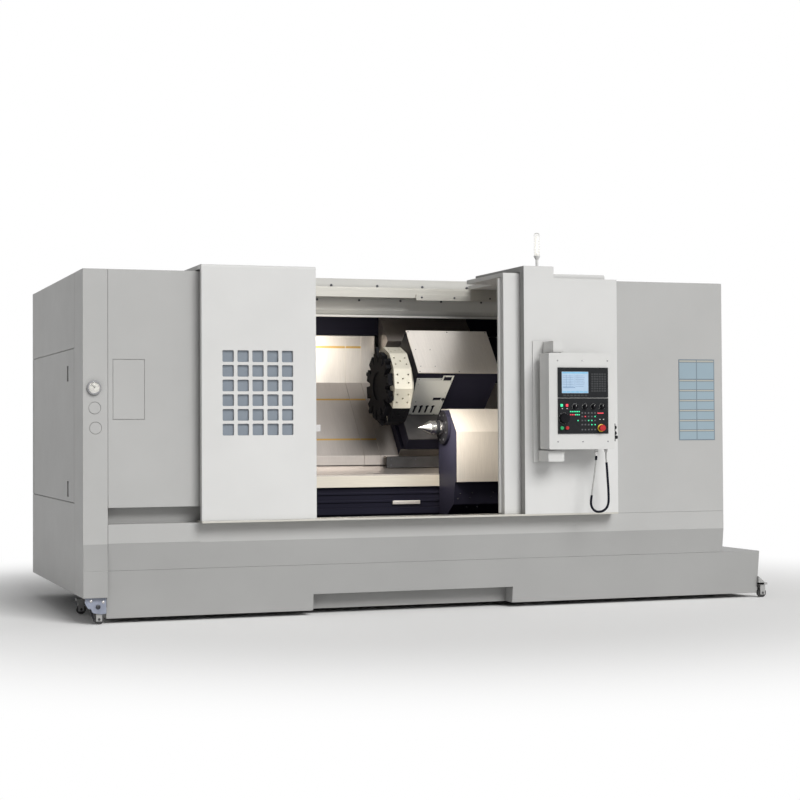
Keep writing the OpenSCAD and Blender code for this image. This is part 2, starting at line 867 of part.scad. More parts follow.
// star of tool clamps on the disc's face, with a turning tool in every other clamp
module tool_holders() {
    step = 360 / stations;
    x0 = disc_x - clamp_t;
    rim = disc_r - 28;
    root = disc_r - 105;
    color("dimgray") on_slant() translate([0, turret_s, 0]) difference() {
        union() {
            translate([x0, 0, 0]) rotate([0, 90, 0]) rotate([0, 0, step / 2])
                cylinder(h = clamp_t, r = rim, $fn = stations);
            for (i = [0 : 2 : stations - 1]) rotate([i * step, 0, 0])
                block([x0 + 5, x0 + 27], [-11, 11], [root, disc_r + 4]);
        }
        // wedge gaps between the clamps
        for (i = [0 : stations - 1]) rotate([(i + 0.5) * step, 0, 0])
            along_x(x0 - 1, disc_x + 1) polygon([[-9, root], [9, root], [26, disc_r + 1], [-26, disc_r + 1]]);
        // clamp bolts, and the hole round the disc's hub
        for (i = [0 : stations - 1]) rotate([i * step, 0, 0])
            for (y = [-24, 24]) rod_x(x0 - 1, x0 + 8, y, rim - 38, 8);
        rod_x(x0 - 1, disc_x + 1, 0, 0, 96);
    }
}

// tailstock casting on the front ways, with the quill bore and a front flange
module tailstock_body() {
    color("midnightblue") difference() {
        union() {
            along_x(tail_x, tail_x + tail_l) polygon([
                [tail_front + 6, tail_skirt + 4], [tail_front + 6, tail_fold - 2],
                [tail_front + 141, tail_top - 7], [tail_front + 290, tail_top - 7],
                [tail_front + 345, tail_top - 130], [tail_front + 345, ledge_z + 14],
                [tail_back, ledge_z + 6], [tail_back, base_h + 8], [tail_front + 190, base_h + 8],
                [tail_front + 70, base_h + 80], [tail_front + 40, tail_skirt]
            ]);
            rod_x(tail_x - flange_l, tail_x + 1, spindle_y, spindle_z, flange_r);
        }
        rod_x(tail_x - flange_l - 1, tail_x + tail_l + 1, spindle_y, spindle_z, quill_r + fit_gap);
    }
}

// folded brushed sheet over the front and the slope of the tailstock
module tailstock_cover() {
    line = [
        [tail_front, tail_skirt + 4], [tail_front, tail_fold], [tail_front + 137, tail_top],
        [tail_front + 290, tail_top]
    ];
    inner = [
        [tail_front + 6, tail_skirt + 4], [tail_front + 6, tail_fold - 2], [tail_front + 141, tail_top - 7],
        [tail_front + 290, tail_top - 7]
    ];
    color("silver") along_x(tail_x, tail_x + tail_l)
        polygon([for (p = line) p, for (i = [3 : -1 : 0]) inner[i]]);
}

// quill with a grooved nose and the seat for the centre's shank
module quill() {
    x = quill_tip;
    end = tail_x + tail_l - 60;
    seat_r = taper_r + fit_gap;
    color("lightgray") translate([0, spindle_y, spindle_z]) rotate([90, 0, 90]) rotate_extrude() polygon([
        [seat_r, x], [quill_r - 3, x], [quill_r - 3, x + 4], [quill_r - 6, x + 4], [quill_r - 6, x + 30],
        [quill_r - 2, x + 30], [quill_r, x + 32], [quill_r, end], [0, end], [0, x + taper_l],
        [seat_r, x + taper_l]
    ]);
}

// revolving centre with its ringed head and point
module live_centre() {
    x = quill_tip - slide_gap;
    color("lightgray") translate([0, spindle_y, spindle_z]) rotate([90, 0, 90]) rotate_extrude() polygon([
        [0, x - 112], [3, x - 110], [centre_r - 3, x - 38], [centre_r, x - 35], [centre_r, x - 22],
        [centre_r - 4, x - 20], [centre_r - 4, x - 14], [centre_r, x - 12], [centre_r, x - 2],
        [centre_r - 2, x], [taper_r, x], [taper_r, x + taper_l - 10], [0, x + taper_l - 10]
    ]);
}

// sliding door: front panel and roof in one bent sheet
module door_sheet(x, front, roof_end) {
    bend = 14;
    along_x(x, x + door_w) polygon([
        [front, door_z], [front + door_t, door_z], [front + door_t, roof_z], [roof_end, roof_z],
        [roof_end, door_top],
        for (a = [90 : 15 : 180]) [front + bend + bend * cos(a), door_top - bend + bend * sin(a)]
    ]);
}

// left door with its grid of window holes
module left_door() {
    front = -left_door_d;
    x1 = grid_x + grid_w;
    z1 = grid_z + grid_h;
    color("whitesmoke") difference() {
        door_sheet(left_door_x, front, rail_y + 5 + bar_w);
        for (i = [0 : hole_cols - 1], j = [0 : hole_rows - 1])
            front_plate(grid_x + i * hole_pitch_x, grid_z + j * hole_pitch_z, hole_w, hole_w, 7,
                front - 1, front + door_t + 1);
        // pocket for the glass
        block([grid_x - 20, x1 + 20], [front + 15, front + door_t + 1], [grid_z - 20, z1 + 20]);
    }
}

// glass behind the window holes
module door_window() {
    front = -left_door_d;
    color("lightsteelblue") block([grid_x - 19, grid_x + grid_w + 19], [front + 15, front + 25],
        [grid_z - 19, grid_z + grid_h + 19]);
}

// right door with the rubber edge on its leading side
module right_door() {
    front = -right_door_d;
    roof_end = rail_y + 5 + bar_w;
    seal_w = 18;
    cut_w = 190;
    cut_y = 600;
    color("whitesmoke") {
        // the roof is cut back at its rear left corner
        difference() {
            door_sheet(right_door_x, front, roof_end);
            block([right_door_x - 1, right_door_x + cut_w], [cut_y, roof_end + 1], [roof_z - 1, door_top + 1]);
        }
        block([right_door_x - seal_w, right_door_x + 4], [front + door_t, front + door_t + 20], [door_z + 4, roof_z - 8]);
        block([right_door_x, right_door_x + 4], [front + door_t - 1, front + door_t + 20], [door_z + 4, roof_z - 8]);
    }
}

// base and stem of the signal lamp
module lamp_post() {
    color("silver") translate([lamp_x, lamp_y, bridge_top]) rotate_extrude() polygon([
        [0, 0], [20, 0], [20, 6], [9, 12], [9, 60], [21, 82], [21, 86], [0, 86]
    ]);
}

// clear dome of the signal lamp
module lamp_lens() {
    color("white") translate([lamp_x, lamp_y, bridge_top + 86]) rotate_extrude() polygon([
        [0, 0], [20, 0], [20, 132], [18, 141], [12, 147], [0, 149]
    ]);
}

// wall plate with two arms and pins that the pendant turns on
module pendant_bracket() {
    wall = -housing_d;
    top = pendant_z + pendant_h + hub_h + slide_gap;
    low = pendant_z - hub_h - slide_gap;
    arm_h = 70;
    arm_y = [-pivot_dy - 34, wall];
    color("whitesmoke") {
        block([pivot_x - 107, pivot_x - 25], [wall - 8, wall], [low - arm_h - 6, top + arm_h + 6]);
        block([pivot_x - 36, pivot_x + 34], arm_y, [top, top + arm_h]);
        block([pivot_x - 74, pivot_x + 34], arm_y, [low - arm_h, low]);
        rod_z(top - hub_h - 10, top + 1, pivot_x, -pivot_dy, pivot_r);
        rod_z(low - 1, low + hub_h + 10, pivot_x, -pivot_dy, pivot_r);
    }
}

// hollow pendant box with pivot hubs, panel openings and cable glands
module pendant_box() {
    back = pendant_front + pendant_d;
    x1 = pendant_left + pendant_w;
    z1 = pendant_z + pendant_h;
    w = pendant_wall;
    color("white") difference() {
        union() {
            front_plate(pendant_left, pendant_z, pendant_w, pendant_h, 10, pendant_front, back);
            rod_z(z1 - 1, z1 + hub_h, pivot_x, -pivot_dy, hub_r);
            rod_z(pendant_z - hub_h, pendant_z + 1, pivot_x, -pivot_dy, hub_r);
            for (x = gland_xs) rod_z(pendant_z - gland_h, pendant_z + 1, pendant_left + x, cable_y, gland_r);
        }
        block([pendant_left + 50, x1 - w], [pendant_front + 6, back - w], [pendant_z + 30, z1 - 30]);
        block([screen_x + 8, screen_x + screen_w - 8], [pendant_front - 1, pendant_front + 7],
            [screen_z + 8, screen_z + screen_h - 8]);
        block([screen_x + 8, screen_x + screen_w - 8], [pendant_front - 1, pendant_front + 7],
            [panel_z + 8, panel_z + panel_h - 8]);
        rod_z(z1 - 12, z1 + hub_h + 1, pivot_x, -pivot_dy, pivot_r + fit_gap);
        rod_z(pendant_z - hub_h - 1, pendant_z + 12, pivot_x, -pivot_dy, pivot_r + fit_gap);
    }
}

// display unit: bezel with a sunk screen and a key field
module display_unit() {
    color("black") difference() {
        block([screen_x, screen_x + screen_w], [plate_y, pendant_front], [screen_z, screen_z + screen_h]);
        block([screen_x + 26, screen_x + 210], [plate_y - 1, plate_y + 3], [screen_z + 26, screen_z + 162]);
    }
}

// operator panel with holes for its controls, two pilot lamps and the stop ring
module operator_plate() {
    color("black") difference() {
        union() {
            block([screen_x, screen_x + screen_w], [plate_y, pendant_front], [panel_z, panel_z + panel_h]);
            rod_y(plate_y - ring_h, plate_y, stop_at[0], stop_at[1], ring_r);
            for (at = lamp_ats) block([at[0] - 10, at[0] + 10], [plate_y - 4, plate_y], [at[1] - 10, at[1] + 10]);
        }
        for (x = knob_xs) panel_hole([pendant_left + x, knob_z], stem_r);
        panel_hole(dial_at, stem_r);
        for (at = [start_at, hold_at]) panel_hole(at, button_stem_r);
        panel_hole(stop_at, stop_stem_r);
    }
}

module panel_hole(at, r) {
    rod_y(plate_y - ring_h - 1, pendant_front + 1, at[0], at[1], r + fit_gap);
}

// turning knob with a pointer rib, or the fluted handwheel
module knob(at, r, h) {
    y1 = plate_y - slide_gap;
    color("black") {
        difference() {
            rod_y(y1 - h, y1, at[0], at[1], r);
            for (a = [0 : 30 : 330]) rod_y(y1 - h - 1, y1 - 5, at[0] + r * sin(a), at[1] + r * cos(a), r * 0.12);
        }
        rod_y(y1 - 1, pendant_front + stem_in, at[0], at[1], stem_r);
    }
}

module knob_1() { knob([pendant_left + knob_xs[0], knob_z], knob_r, knob_h); }
module knob_2() { knob([pendant_left + knob_xs[1], knob_z], knob_r, knob_h); }
module knob_3() { knob([pendant_left + knob_xs[2], knob_z], knob_r, knob_h); }
module knob_4() { knob([pendant_left + knob_xs[3], knob_z], knob_r, knob_h); }
module handwheel() { knob(dial_at, dial_r, dial_h); }

// push button whose cap stands off the panel by its travel
module push_button(at, r, h, lift, stem) {
    y1 = plate_y - lift;
    rod_y(y1 - h, y1, at[0], at[1], r);
    rod_y(y1 - 1, pendant_front + stem_in, at[0], at[1], stem);
}

module cycle_start() { color("green") push_button(start_at, button_r, button_h, button_lift, button_stem_r); }
module feed_hold() { color("red") push_button(hold_at, button_r, button_h, button_lift, button_stem_r); }
module estop() { color("red") push_button(stop_at, stop_r, stop_h, stop_lift, stop_stem_r); }

// round tube swept along a path
module tube(path, r, sides) {
    last = len(path) - 1;
    rings = [for (i = [0 : last]) let (
        d = path[min(i + 1, last)] - path[max(i - 1, 0)],
        t = d / norm(d),
        side = [0, 1, 0],
        up = cross(t, side)
    ) for (k = [0 : sides - 1]) path[i] + r * (cos(360 * k / sides) * side + sin(360 * k / sides) * up)];
    caps = [[for (k = [0 : sides - 1]) k], [for (k = [sides - 1 : -1 : 0]) last * sides + k]];
    walls = [for (i = [0 : last - 1], k = [0 : sides - 1]) let (
        a = i * sides + k, b = i * sides + (k + 1) % sides
    ) [a, a + sides, b + sides, b]];
    polyhedron(rings, concat(caps, walls), convexity = 4);
}

module pendant_cable() {
    color("black") translate([pendant_left, cable_y, pendant_z]) tube(cable_path, cable_r, 8);
}

// hinged panel in the side wall: round rear edge on two pins, and two sunk grips
module side_door() {
    edge = 3;
    y0 = side_y0 + edge;
    z0 = side_z0 + edge;
    z1 = side_z1 - edge;
    half = panel_t / 2;
    color("silver") {
        difference() {
            translate([0, 0, z0]) linear_extrude(z1 - z0) {
                translate([0, y0]) square([panel_t, hinge_y - y0]);
                translate([half, hinge_y]) circle(half);
            }
            for (z = grip_z) block([-1, 16], [grip_y, grip_y + grip_w], [z, z + grip_h]);
        }
        for (z = [z0 - hinge_pin_l, z1 - 1]) rod_z(z, z + hinge_pin_l + 1, half, hinge_y, hinge_pin_r);
    }
}

// roll-out coolant tank with its toe notch and caster brackets
module coolant_tank() {
    wall = 6;
    toe_d = 150;
    back = tank_front + tank_d;
    foot_front = tank_front + (seam_h - tank_foot) * lean / (fold_h - seam_h);
    color("darkgray") difference() {
        union() {
            along_x(tank_x, tank_end) polygon([
                [tank_front, tank_top], [foot_front, tank_foot], [back, tank_foot], [back, tank_top]
            ]);
            for (y = wheel_y) {
                for (side = [-1, 1]) wheel_cheeks(y, side);
                block([left_wheel_x - 30, tank_x + 1], [y - 26, y + 26], [cheek_top - 1, cheek_top + 12]);
                block([tank_end - 1, tank_end + bracket_r], [y - 26, y + 26], [cheek_top - 1, cheek_top + 12]);
            }
        }
        block([notch_x, notch_x + notch_w], [-1, tank_front + toe_d], [tank_foot - 1, notch_h]);
        block([tank_x + wall, body_l - 60], [tank_front + 40 + wall, back - wall], [notch_h + wall, tank_top + 1]);
    }
}

// pair of plates that hold one wheel at each end of the tank
module wheel_cheeks(y, side) {
    gap = wheel_w / 2 + 2;
    cheek = 8;
    y0 = side > 0 ? y + gap : y - gap - cheek;
    for (x = [left_wheel_x, right_wheel_x])
        difference() {
            block([x - 18, x + 18], [y0, y0 + cheek], [axle_z - 12, cheek_top]);
            rod_y(y0 - 1, y0 + cheek + 1, x, axle_z, axle_r + fit_gap);
        }
}

// pair of wheels with their axles
module wheels(x) {
    color("black") for (y = wheel_y) {
        rod_y(y - wheel_w / 2, y + wheel_w / 2, x, axle_z, wheel_r);
        rod_y(y - wheel_w / 2 - 10, y + wheel_w / 2 + 10, x, axle_z, axle_r);
    }
}

module left_wheels() { wheels(left_wheel_x); }
module right_wheels() { wheels(right_wheel_x); }

place() base_casting();
place() slant_bed();
place() bed_guard();
place() guideways();
place() chip_trough();
place() front_skirt();
place() levelling_feet();
place() left_cabinet();
place() pressure_gauge();
place() right_cabinet();
place() right_housing();
place() rear_cover();
place() top_beam();
place() door_rails();
place() chamber_walls();
place() headstock();
place() spindle_motor();
place() way_cover_fixed();
place() lamp_post();
place() lamp_lens();
place() pendant_bracket();
place() left_door();
place() door_window();
place() right_door();
place() spindle();
place() chuck_body();
place() jaw_1();
place() jaw_2();
place() jaw_3();
place() saddle();
place() way_cover_outer();
place() way_cover_right();
place() way_cover_inner();
place() way_cover_middle();
place() cross_slide();
place() turret_housing();
place() turret_cover();
place() service_plate();
place() turret_disc();
place() tool_holders();
place() tailstock_body();
place() tailstock_cover();
place() quill();
place() live_centre();
place() pendant_box();
place() display_unit();
place() operator_plate();
place() pendant_cable();
place() estop();
place() handwheel();
place() cycle_start();
place() feed_hold();
place() knob_1();
place() knob_2();
place() knob_3();
place() knob_4();
place() side_door();
place() coolant_tank();
place() left_wheels();
place() right_wheels();
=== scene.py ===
"""Looks of the turning lathe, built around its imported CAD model."""
import json
import math

import bmesh
import bpy
from mathutils import Matrix, Vector


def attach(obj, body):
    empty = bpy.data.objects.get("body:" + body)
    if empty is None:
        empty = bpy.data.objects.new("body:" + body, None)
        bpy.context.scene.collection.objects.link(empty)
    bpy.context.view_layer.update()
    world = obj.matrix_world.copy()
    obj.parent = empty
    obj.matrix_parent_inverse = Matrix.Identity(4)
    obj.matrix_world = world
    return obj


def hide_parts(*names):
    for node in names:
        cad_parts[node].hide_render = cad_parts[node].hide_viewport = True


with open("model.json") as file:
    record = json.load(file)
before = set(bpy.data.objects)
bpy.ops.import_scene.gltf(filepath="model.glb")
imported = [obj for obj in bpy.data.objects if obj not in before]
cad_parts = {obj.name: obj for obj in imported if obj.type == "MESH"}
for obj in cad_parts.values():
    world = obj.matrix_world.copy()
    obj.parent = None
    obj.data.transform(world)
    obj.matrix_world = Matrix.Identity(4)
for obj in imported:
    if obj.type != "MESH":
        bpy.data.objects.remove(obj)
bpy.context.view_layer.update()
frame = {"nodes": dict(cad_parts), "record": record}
nodes = frame["nodes"]

# machine coordinates of the CAD source, in millimetres: x from the left face, y from the front plane
ORIGIN_X = 2294.0
ORIGIN_Y = 897.0
SLANT = math.radians(50)
SPINDLE_Y = 720.0
SPINDLE_Z = 1150.0

X_AXIS = Vector((1, 0, 0))
Y_AXIS = Vector((0, 1, 0))
Z_AXIS = Vector((0, 0, 1))
FRONT = -Y_AXIS
UP_SLOPE = Vector((0, math.cos(SLANT), math.sin(SLANT)))
OFF_SLOPE = Vector((0, -math.sin(SLANT), math.cos(SLANT)))


def at(x, y, z):
    """Point of the row frame, in metres, from machine millimetres."""
    return Vector(((x - ORIGIN_X) / 1000, (y - ORIGIN_Y) / 1000, z / 1000))


def on_slope(x, s, n):
    """Point at s up the slope and n off it from the spindle axis."""
    y = SPINDLE_Y + s * math.cos(SLANT) - n * math.sin(SLANT)
    z = SPINDLE_Z + s * math.sin(SLANT) + n * math.cos(SLANT)
    return at(x, y, z)


# camera at the photograph's place, from the photo's perspective
CAMERA_PLACE = at(-1731, -10552, 1140)
CAMERA_RIGHT = Vector((0.94364, -0.33093, -0.00555))
CAMERA_UP = Vector((-0.00263, -0.02428, 0.99970))
CAMERA_FORWARD = Vector((0.33097, 0.94334, 0.02378))
LENS = 80.81
LENS_SHIFT = -0.0169


def make_camera():
    data = bpy.data.cameras.new("camera")
    camera = bpy.data.objects.new("camera", data)
    bpy.context.scene.collection.objects.link(camera)
    turn = Matrix((CAMERA_RIGHT, CAMERA_UP, -CAMERA_FORWARD)).transposed().to_4x4()
    camera.matrix_world = Matrix.Translation(CAMERA_PLACE) @ turn
    data.sensor_width = 36
    data.lens = LENS
    data.shift_y = LENS_SHIFT
    data.clip_end = 100
    bpy.context.scene.camera = camera


make_camera()


# materials
def start_material(name):
    material = bpy.data.materials.new(name)
    material.use_nodes = True
    tree = material.node_tree
    shader = tree.nodes["Principled BSDF"]
    place = tree.nodes.new("ShaderNodeTexCoord").outputs["Object"]
    return material, tree, shader, place


def noise(tree, place, scale, detail=2.0, stretch=None):
    """Noise value over the piece; stretch squeezes it along the axes."""
    source = place
    if stretch:
        mapping = tree.nodes.new("ShaderNodeMapping")
        mapping.inputs["Scale"].default_value = stretch
        tree.links.new(place, mapping.inputs["Vector"])
        source = mapping.outputs["Vector"]
    node = tree.nodes.new("ShaderNodeTexNoise")
    node.inputs["Scale"].default_value = scale
    node.inputs["Detail"].default_value = detail
    tree.links.new(source, node.inputs["Vector"])
    return node.outputs["Fac"]


def ramp(tree, value, low, high, start=0.3, end=0.7):
    node = tree.nodes.new("ShaderNodeValToRGB")
    node.color_ramp.elements[0].position = start
    node.color_ramp.elements[1].position = end
    node.color_ramp.elements[0].color = (*low, 1)
    node.color_ramp.elements[1].color = (*high, 1)
    tree.links.new(value, node.inputs["Fac"])
    return node.outputs["Color"]


def spread(tree, value, low, high):
    node = tree.nodes.new("ShaderNodeMapRange")
    node.inputs["To Min"].default_value = low
    node.inputs["To Max"].default_value = high
    tree.links.new(value, node.inputs["Value"])
    return node.outputs["Result"]


def soft_edges(tree, radius):
    """Normal that rounds sharp edges by a small radius, in metres."""
    node = tree.nodes.new("ShaderNodeBevel")
    node.samples = 4
    node.inputs["Radius"].default_value = radius
    return node.outputs["Normal"]


def bump(tree, shader, height, strength, distance, edge=0.0):
    node = tree.nodes.new("ShaderNodeBump")
    node.inputs["Strength"].default_value = strength
    node.inputs["Distance"].default_value = distance
    tree.links.new(height, node.inputs["Height"])
    if edge:
        tree.links.new(soft_edges(tree, edge), node.inputs["Normal"])
    tree.links.new(node.outputs["Normal"], shader.inputs["Normal"])


def shade(colour, factor):
    return tuple(min(1.0, c * factor) for c in colour)


def tint(tree, shader, value, colour, dark, light):
    """Base colour that runs between a darker and a lighter shade with the value."""
    shades = ramp(tree, value, shade(colour, dark), shade(colour, light))
    tree.links.new(shades, shader.inputs["Base Color"])
    return shades


def roughen(tree, shader, value, low, high):
    """Roughness that runs from low to high with the value."""
    tree.links.new(spread(tree, value, low, high), shader.inputs["Roughness"])


def paint(name, colour, rough=0.42, edge=0.0025, shine=0.10):
    """Satin machine paint: orange peel, faint mottling and painted shade in the creases."""
    material, tree, shader, place = start_material(name)
    mottled = ramp(tree, noise(tree, place, 1.6, 4), shade(colour, 0.955), shade(colour, 1.03))
    # ambient occlusion darkens the colour in creases and seams: painted shade
    crease = tree.nodes.new("ShaderNodeAmbientOcclusion")
    crease.samples = 4
    crease.inputs["Distance"].default_value = 0.035
    crease_shade = tree.nodes.new("ShaderNodeMix")
    crease_shade.data_type = "RGBA"
    crease_shade.inputs["A"].default_value = (*shade(colour, 0.62), 1)
    tree.links.new(crease.outputs["AO"], crease_shade.inputs["Factor"])
    tree.links.new(mottled, crease_shade.inputs["B"])
    tree.links.new(crease_shade.outputs["Result"], shader.inputs["Base Color"])
    roughen(tree, shader, noise(tree, place, 9, 3), rough - 0.05, rough + 0.06)
    shader.inputs["Specular IOR Level"].default_value = shine
    bump(tree, shader, noise(tree, place, 420, 2), 0.07, 0.0005, edge)
    return material


def brushed(name, colour, rough=0.3, along="slope", edge=0.0012, metal=1.0):
    """Brushed sheet: fine streaks along one direction and faint handling marks."""
    material, tree, shader, place = start_material(name)
    squeeze = {"slope": (1.0, 0.012, 0.012), "x": (0.012, 1.0, 1.0), "round": (0.6, 0.6, 0.6)}[along]
    streak = noise(tree, place, 900, 3, squeeze)
    band = noise(tree, place, 5, 2, squeeze)
    mixed = tree.nodes.new("ShaderNodeMath")
    mixed.operation = "MULTIPLY_ADD"
    mixed.inputs[1].default_value = 0.6
    tree.links.new(streak, mixed.inputs[0])
    scaled = tree.nodes.new("ShaderNodeMath")
    scaled.operation = "MULTIPLY"
    scaled.inputs[1].default_value = 0.4
    tree.links.new(band, scaled.inputs[0])
    tree.links.new(scaled.outputs[0], mixed.inputs[2])
    tint(tree, shader, mixed.outputs[0], colour, 0.86, 1.1)
    roughen(tree, shader, mixed.outputs[0], rough - 0.08, rough + 0.12)
    shader.inputs["Metallic"].default_value = metal
    bump(tree, shader, streak, 0.05, 0.0003, edge)
    return material


def cast(name, colour, rough=0.55):
    """Painted casting with a coarse skin."""
    material, tree, shader, place = start_material(name)
    tint(tree, shader, noise(tree, place, 14, 5), colour, 0.8, 1.2)
    roughen(tree, shader, noise(tree, place, 30, 2), rough - 0.08, rough + 0.1)
    bump(tree, shader, noise(tree, place, 160, 4), 0.22, 0.0012, 0.003)
    return material


def oiled(name, colour, rough=0.34):
    """Dark tool steel with an oil film and turning marks."""
    material, tree, shader, place = start_material(name)
    film = noise(tree, place, 22, 4)
    tint(tree, shader, film, colour, 0.7, 1.45)
    roughen(tree, shader, film, rough - 0.1, rough + 0.12)
    shader.inputs["Metallic"].default_value = 0.85
    bump(tree, shader, noise(tree, place, 700, 3, (1, 0.05, 0.05)), 0.08, 0.0003, 0.0012)
    return material


def plastic(name, colour, rough=0.5, grain=900, depth=0.12, shine=0.5):
    """Moulded plastic with a fine grain."""
    material, tree, shader, place = start_material(name)
    shader.inputs["Specular IOR Level"].default_value = shine
    tint(tree, shader, noise(tree, place, 60, 3), colour, 0.85, 1.15)
    roughen(tree, shader, noise(tree, place, 120, 2), rough - 0.06, rough + 0.08)
    bump(tree, shader, noise(tree, place, grain, 2), depth, 0.0002, 0.0006)
    return material


def glass(name, colour, rough, clear):
    """Glass or clear plastic with faint smears."""
    material, tree, shader, place = start_material(name)
    smear = noise(tree, place, 7, 4)
    tint(tree, shader, smear, colour, 0.94, 1.04)
    roughen(tree, shader, smear, rough, rough + 0.06)
    shader.inputs["Transmission Weight"].default_value = clear
    shader.inputs["IOR"].default_value = 1.46
    return material


def glow(name, colour, strength):
    """Lit screen or lamp."""
    material, tree, shader, place = start_material(name)
    shades = tint(tree, shader, noise(tree, place, 30, 2), colour, 0.95, 1.03)
    tree.links.new(shades, shader.inputs["Emission Color"])
    shader.inputs["Emission Strength"].default_value = strength
    shader.inputs["Roughness"].default_value = 0.3
    return material


light_paint = paint("light_paint", (0.675, 0.675, 0.668))
grey_paint = paint("grey_paint", (0.466, 0.466, 0.460))
# darker copy of the grey paint: painted shade for the backward-leaning lower bands of the skirt, tank and
# corner post; the sill seams use it too
base_paint = paint("base_paint", (0.372, 0.372, 0.368))
white_paint = paint("white_paint", (0.66, 0.66, 0.65), 0.38, 0.0015)
navy_paint = paint("navy_paint", (0.019, 0.0185, 0.031), 0.42, 0.002, 0.04)
slate_iron = cast("slate_iron", (0.10, 0.115, 0.14))
brushed_sheet = brushed("brushed_sheet", (0.78, 0.73, 0.67), 0.34, metal=0.7)
# darker copy of the brushed sheet: painted shade for the way covers' slopes, also laid on the bed guard
shade_darkened_sheet = brushed("shade_darkened_sheet", (0.49, 0.445, 0.41), 0.36, metal=0.7)
guide_steel = brushed("guide_steel", (0.80, 0.74, 0.63), 0.3, "x", metal=0.5)
disc_steel = brushed("disc_steel", (0.60, 0.57, 0.48), 0.52, "round", metal=0.25)
plate_white = paint("plate_white", (0.78, 0.785, 0.75), 0.36, 0.001)
# lighter white as painted light for the pendant's left faces, and darker grey as painted shade for the
# housing's left faces
pendant_lit_white = paint("pendant_lit_white", (0.80, 0.80, 0.79), 0.38, 0.0015)
housing_shade_grey = paint("housing_shade_grey", (0.33, 0.33, 0.326))
# near-black casting colour laid on grey sheets as painted shadow: the slide's lower end and the saddle's
# apron
shadow_dark_iron = cast("shadow_dark_iron", (0.040, 0.038, 0.039))
beam_metal = paint("beam_metal", (0.64, 0.635, 0.61), 0.33, 0.0015)
rail_steel = brushed("rail_steel", (0.55, 0.535, 0.49), 0.34, "x", metal=0.7)
bright_steel = brushed("bright_steel", (0.66, 0.65, 0.64), 0.2, "round")
dark_steel = oiled("dark_steel", (0.075, 0.077, 0.085))
blackened = plastic("blackened", (0.010, 0.010, 0.012), 0.66, 160, 0.3, shine=0.06)
caster_steel = cast("caster_steel", (0.27, 0.295, 0.37), 0.42)
gauge_metal = brushed("gauge_metal", (0.34, 0.34, 0.35), 0.18, "round", 0.0008)
lamp_clear = glass("lamp_clear", (0.95, 0.94, 0.92), 0.04, 0.95)
window_glass = glass("window_glass", (0.30, 0.345, 0.40), 0.1, 0.25)
black_panel = plastic("black_panel", (0.013, 0.014, 0.016), 0.46, shine=0.14)
red_plastic = plastic("red_plastic", (0.45, 0.022, 0.024), 0.36, 500, 0.04, shine=0.3)
green_plastic = plastic("green_plastic", (0.015, 0.36, 0.12), 0.3, 500, 0.04)
yellow_plastic = plastic("yellow_plastic", (0.78, 0.52, 0.02), 0.36, 500, 0.05)
cable_rubber = plastic("cable_rubber", (0.008, 0.009, 0.016), 0.6, 700, 0.2, shine=0.1)
cable_grey = plastic("cable_grey", (0.40, 0.40, 0.39), 0.5, 700, 0.1, shine=0.2)
wheel_rubber = plastic("wheel_rubber", (0.03, 0.03, 0.031), 0.6, 500, 0.25)
brass = brushed("brass", (0.62, 0.40, 0.13), 0.36, "x", 0.0006)
door_strip_dark = plastic("door_strip_dark", (0.02, 0.024, 0.035), 0.6, 600, 0.2)
screen_blue = glow("screen_blue", (0.38, 0.50, 0.64), 0.2)
screen_line = glow("screen_line", (0.10, 0.20, 0.36), 0.2)
screen_head = glow("screen_head", (0.16, 0.42, 0.62), 0.3)
key_grey = plastic("key_grey", (0.045, 0.047, 0.050), 0.5, shine=0.2)
key_dim = plastic("key_dim", (0.10, 0.103, 0.108), 0.5, shine=0.2)
key_white = plastic("key_white", (0.62, 0.62, 0.60), 0.45)
lamp_core_white = glow("lamp_core_white", (0.88, 0.87, 0.82), 0.45)
lamp_green = glow("lamp_green", (0.05, 0.75, 0.35), 0.5)
lamp_red = glow("lamp_red", (0.85, 0.05, 0.08), 0.4)
chart_blue = paint("chart_blue", (0.315, 0.405, 0.465), 0.4, 0.0005)
chart_line = paint("chart_line", (0.20, 0.25, 0.29), 0.4, 0.0005)
chart_strip = paint("chart_strip", (0.43, 0.43, 0.39), 0.4, 0.0005)
dial_white = plastic("dial_white", (0.82, 0.82, 0.80), 0.35, 300, 0.03)
grip_plastic = plastic("grip_plastic", (0.11, 0.11, 0.115), 0.45, 700, 0.15)

SLOT_MATERIALS = {
    "light_paint": light_paint,
    "grey_paint": grey_paint,
    "base_paint": base_paint,
    "white_paint": white_paint,
    "navy_paint": navy_paint,
    "slate_iron": slate_iron,
    "brushed_sheet": brushed_sheet,
    "beam_metal": beam_metal,
    "rail_steel": rail_steel,
    "bright_steel": bright_steel,
    "dark_steel": dark_steel,
    "gauge_metal": gauge_metal,
    "lamp_clear": lamp_clear,
    "window_glass": window_glass,
    "black_panel": black_panel,
    "red_plastic": red_plastic,
    "green_plastic": green_plastic,
    "cable_rubber": cable_rubber,
    "wheel_rubber": wheel_rubber,
}
for subpart in frame["record"]["subparts"]:
    piece = nodes[subpart["node"]]
    piece.data.materials.clear()
    piece.data.materials.append(SLOT_MATERIALS[subpart["material_slot"]])


def repaint(node, material, wanted):
    """Second material on the faces of a CAD node whose middle, in machine mm, is wanted."""
    mesh = nodes[node].data
    mesh.materials.append(material)
    for face in mesh.polygons:
        middle = nodes[node].matrix_world @ face.center
        if wanted(middle.x * 1000 + ORIGIN_X, middle.y * 1000 + ORIGIN_Y, middle.z * 1000):
            face.material_index = len(mesh.materials) - 1


